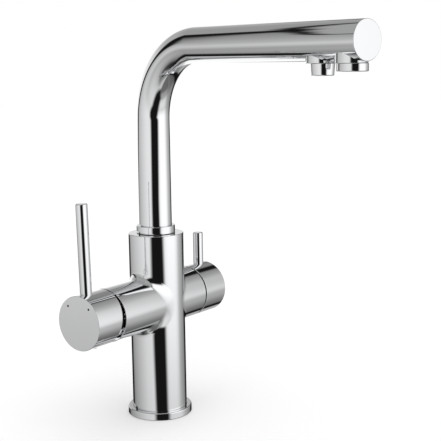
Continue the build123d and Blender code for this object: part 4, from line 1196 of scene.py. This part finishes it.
def build_world(studio):
    world = bpy.data.worlds.new("soft_studio")
    bpy.context.scene.world = world
    world.use_nodes = True
    world.node_tree.nodes.clear()
    build = Shader(world.node_tree)
    ray = build.node("ShaderNodeTexCoord").outputs["Generated"]
    rightwards = unit(np.array(CAMERA_RIGHT) * np.array([1.0, 1.0, 0.0]))
    to_camera = np.cross(rightwards, UP)
    parts = [build.dot(ray, tuple(way)) for way in (rightwards, to_camera)]
    azimuth = build.maths("MULTIPLY", build.maths("ARCTAN2", *parts), DEGREES)
    up = build.node("ShaderNodeSeparateXYZ", i0=ray).outputs[2]
    elevation = build.maths("MULTIPLY", build.maths("ARCSINE", up), DEGREES)

    def by_azimuth(stops):
        return build.curve(azimuth, stops, -180.0, 180.0)

    def by_elevation(stops):
        return build.curve(elevation, stops, LOW, HIGH)

    def beside(edge, nearer, further):
        """0 to 1 between two distances from an edge's centre, in its half widths, positive to the right."""
        start, end = (build.maths("MULTIPLY_ADD", edge[1], side, edge[0]) for side in (nearer, further))
        return build.step(azimuth, start, end)

    soft = by_elevation(GAP_SOFT)
    left = beside((by_elevation(GAP_LEFT), soft), 1.0, -1.0)
    right = beside((by_elevation(GAP_RIGHT), soft), -1.0, 1.0)
    left_post = by_elevation(POST_LEFT), by_elevation(LEFT_HALF)
    right_post = by_elevation(POST_RIGHT), by_elevation(RIGHT_HALF)
    left = build.maths("MULTIPLY", left, beside(left_post, POST_CORE, POST_END))
    right = build.maths("MULTIPLY", right, beside(right_post, -POST_CORE, -POST_END))
    behind = beside(right_post, POST_CORE, POST_END)
    behind = build.maths("MULTIPLY", behind, by_elevation(BEHIND_RIGHT))
    behind = build.maths("ADD", behind, beside(left_post, -POST_CORE, -POST_END))
    fall = build.maths("MULTIPLY_ADD", azimuth, *LEFT_FALL)
    left = build.maths("MULTIPLY", left, build.maths("POWER", by_elevation(LEFT_SHARE), fall))
    far = build.step(azimuth, FAR_START, FAR_END)
    right = build.maths("MULTIPLY", right, build.mix(far, by_elevation(RIGHT_SHARE), by_elevation(FAR_SHARE)))
    front = build.maths("MULTIPLY", build.maths("ADD", left, right), by_azimuth(PANELS))
    walls = build.maths("MULTIPLY_ADD", behind, by_elevation(BEHIND), front)
    ceiling = by_azimuth(CEILING)
    below = build.step(elevation, ceiling, build.maths("SUBTRACT", ceiling, CEILING_SOFT))
    above = build.step(elevation, ceiling, build.maths("ADD", ceiling, CEILING_SOFT))
    level = build.maths("MULTIPLY_ADD", walls, below, build.maths("MULTIPLY", above, CEILING_LEVEL))
    mirrored = build.maths("MULTIPLY_ADD", level, GAIN, DARKEST)
    # mirrors see the studio, the camera sees white, and all else is lit evenly
    path = build.node("ShaderNodeLightPath").outputs
    seen = build.maths("MAXIMUM", path["Is Camera Ray"], path["Is Transmission Ray"])
    shade = build.mix(seen, build.mix(path["Is Glossy Ray"], studio.ambient, mirrored), 1.0)
    light = build.node("ShaderNodeBackground", Color=(1, 1, 1, 1), Strength=shade)
    build.node("ShaderNodeOutputWorld", Surface=light.outputs[0])


def build_floor(studio):
    """A round matt floor just below the tap, which can't be seen from underneath."""
    material = bpy.data.materials.new("studio_floor")
    material.use_nodes = True
    material.node_tree.nodes.clear()
    build = Shader(material.node_tree)
    path = build.node("ShaderNodeLightPath").outputs
    seen = build.maths("MAXIMUM", path["Is Camera Ray"], path["Is Glossy Ray"])
    matt = build.first("ShaderNodeBsdfDiffuse", Color=tuple(studio.floor))
    glow = build.first("ShaderNodeEmission", Strength=build.maths("MULTIPLY", seen, studio.floor_lift))
    lifted = build.first("ShaderNodeAddShader", i0=matt, i1=glow)
    clear = build.first("ShaderNodeBsdfTransparent")
    below = build.node("ShaderNodeNewGeometry").outputs["Backfacing"]
    hidden = build.first("ShaderNodeMixShader", Fac=below, i1=lifted, i2=clear)
    build.node("ShaderNodeOutputMaterial", Surface=hidden)
    turns = np.linspace(0, 2 * math.pi, FLOOR_STEPS, endpoint=False)
    points = [(FLOOR_RADIUS * math.cos(a), FLOOR_RADIUS * math.sin(a), -FLOOR_DROP) for a in turns]
    mesh = bpy.data.meshes.new("studio_floor")
    mesh.from_pydata(points, [], [list(range(FLOOR_STEPS))])
    mesh.materials.append(material)
    floor = bpy.data.objects.new("studio_floor", mesh)
    bpy.context.scene.collection.objects.link(floor)
    floor.visible_glossy = False


def build_studio(studio):
    build_world(studio)
    build_floor(studio)
    lamp = bpy.data.lights.new("soft_lamp", "SUN")
    lamp.energy, lamp.angle = studio.lamp, studio.lamp_spread
    holder = bpy.data.objects.new("soft_lamp", lamp)
    holder.location = LAMP_AT
    holder.rotation_euler = (-holder.location).to_track_quat("-Z", "Y").to_euler()
    holder.visible_glossy = False
    holder.visible_camera = False
    bpy.context.scene.collection.objects.link(holder)
    view = bpy.data.cameras.new("camera")
    view.lens, view.sensor_width = studio.lens, studio.sensor
    view.clip_start, view.clip_end = CAMERA_CLIP
    camera = bpy.data.objects.new("camera", view)
    right, up = Vector(CAMERA_RIGHT).normalized(), Vector(CAMERA_UP).normalized()
    turned_by = Matrix((right, up, right.cross(up))).transposed().to_4x4()
    camera.matrix_world = Matrix.Translation(CAMERA_AT) @ turned_by
    bpy.context.scene.collection.objects.link(camera)
    bpy.context.scene.camera = camera
    bpy.context.scene.view_settings.view_transform = "Standard"


# ------------------------------------------------------------------ operators and panel
class TAP_OT_finishes(bpy.types.Operator):
    """Make the finishes and give them to the carried pieces"""

    bl_idname = "tap.finishes"
    bl_label = "Finishes"

    def execute(self, context):
        build_finishes(context.scene.tap_finish)
        return {"FINISHED"}


class TAP_OT_body(bpy.types.Operator):
    """Build the body casting with its two branches"""

    bl_idname = "tap.body"
    bl_label = "Body"

    def execute(self, context):
        build_body(context.scene.tap_body, context.scene.tap_threads)
        return {"FINISHED"}


class TAP_OT_flange(bpy.types.Operator):
    """Build the flange on the deck"""

    bl_idname = "tap.flange"
    bl_label = "Flange"

    def execute(self, context):
        build_flange(context.scene.tap_body)
        return {"FINISHED"}


class TAP_OT_mixer_handle(bpy.types.Operator):
    """Build the mixer knob, its lever, dots, plug and cover ring"""

    bl_idname = "tap.mixer_handle"
    bl_label = "Mixer handle"

    def execute(self, context):
        build_mixer_handle(context.scene.tap_body, context.scene.tap_handles)
        return {"FINISHED"}


class TAP_OT_filter_handle(bpy.types.Operator):
    """Build the filtered water knob and its lever"""

    bl_idname = "tap.filter_handle"
    bl_label = "Filter handle"

    def execute(self, context):
        build_filter_handle(context.scene.tap_body, context.scene.tap_handles)
        return {"FINISHED"}


class TAP_OT_spout(bpy.types.Operator):
    """Build the bent spout, its end cap and its collar"""

    bl_idname = "tap.spout"
    bl_label = "Spout"

    def execute(self, context):
        build_spout(context.scene.tap_body, context.scene.tap_spout)
        return {"FINISHED"}


class TAP_OT_outlets(bpy.types.Operator):
    """Build the two outlets under the arm"""

    bl_idname = "tap.outlets"
    bl_label = "Outlets"

    def execute(self, context):
        build_outlets(context.scene.tap_body, context.scene.tap_spout)
        return {"FINISHED"}


class TAP_OT_threads(bpy.types.Operator):
    """Wind the threads of the shank hole and the hose inlets"""

    bl_idname = "tap.threads"
    bl_label = "Threads"

    def execute(self, context):
        build_threads(context.scene.tap_threads)
        return {"FINISHED"}


class TAP_OT_studio(bpy.types.Operator):
    """Set up the floor, the light and the camera"""

    bl_idname = "tap.studio"
    bl_label = "Studio"

    def execute(self, context):
        build_studio(context.scene.tap_studio)
        return {"FINISHED"}


SETTINGS = {
    "tap_body": BodySizes, "tap_handles": HandleSizes, "tap_spout": SpoutSizes, "tap_threads": ThreadSizes,
    "tap_finish": FinishSettings, "tap_studio": StudioSettings,
}
OPERATORS = (
    TAP_OT_finishes, TAP_OT_body, TAP_OT_flange, TAP_OT_mixer_handle, TAP_OT_filter_handle, TAP_OT_spout,
    TAP_OT_outlets, TAP_OT_threads, TAP_OT_studio,
)


class TAP_PT_panel(bpy.types.Panel):
    """Lists the tap's sizes and the steps that build it"""

    bl_idname = "TAP_PT_panel"
    bl_label = "Three way tap"
    bl_space_type = "VIEW_3D"
    bl_region_type = "UI"
    bl_category = "Tap"

    def draw(self, context):
        for name, group in SETTINGS.items():
            box = self.layout.box()
            box.label(text=group.__doc__)
            for label in group.__annotations__:
                box.prop(getattr(context.scene, name), label)
        for operator in OPERATORS:
            self.layout.operator(operator.bl_idname)


def register():
    for group in (*SETTINGS.values(), *OPERATORS, TAP_PT_panel):
        bpy.utils.register_class(group)
    for name, group in SETTINGS.items():
        setattr(bpy.types.Scene, name, PointerProperty(type=group))


def unregister():
    for name in SETTINGS:
        delattr(bpy.types.Scene, name)
    for group in (TAP_PT_panel, *reversed(OPERATORS), *reversed(SETTINGS.values())):
        bpy.utils.unregister_class(group)


def main():
    register()
    for operator in OPERATORS:
        family, step = operator.bl_idname.split(".")
        getattr(getattr(bpy.ops, family), step)()
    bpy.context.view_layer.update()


if __name__ == "__main__":
    main()
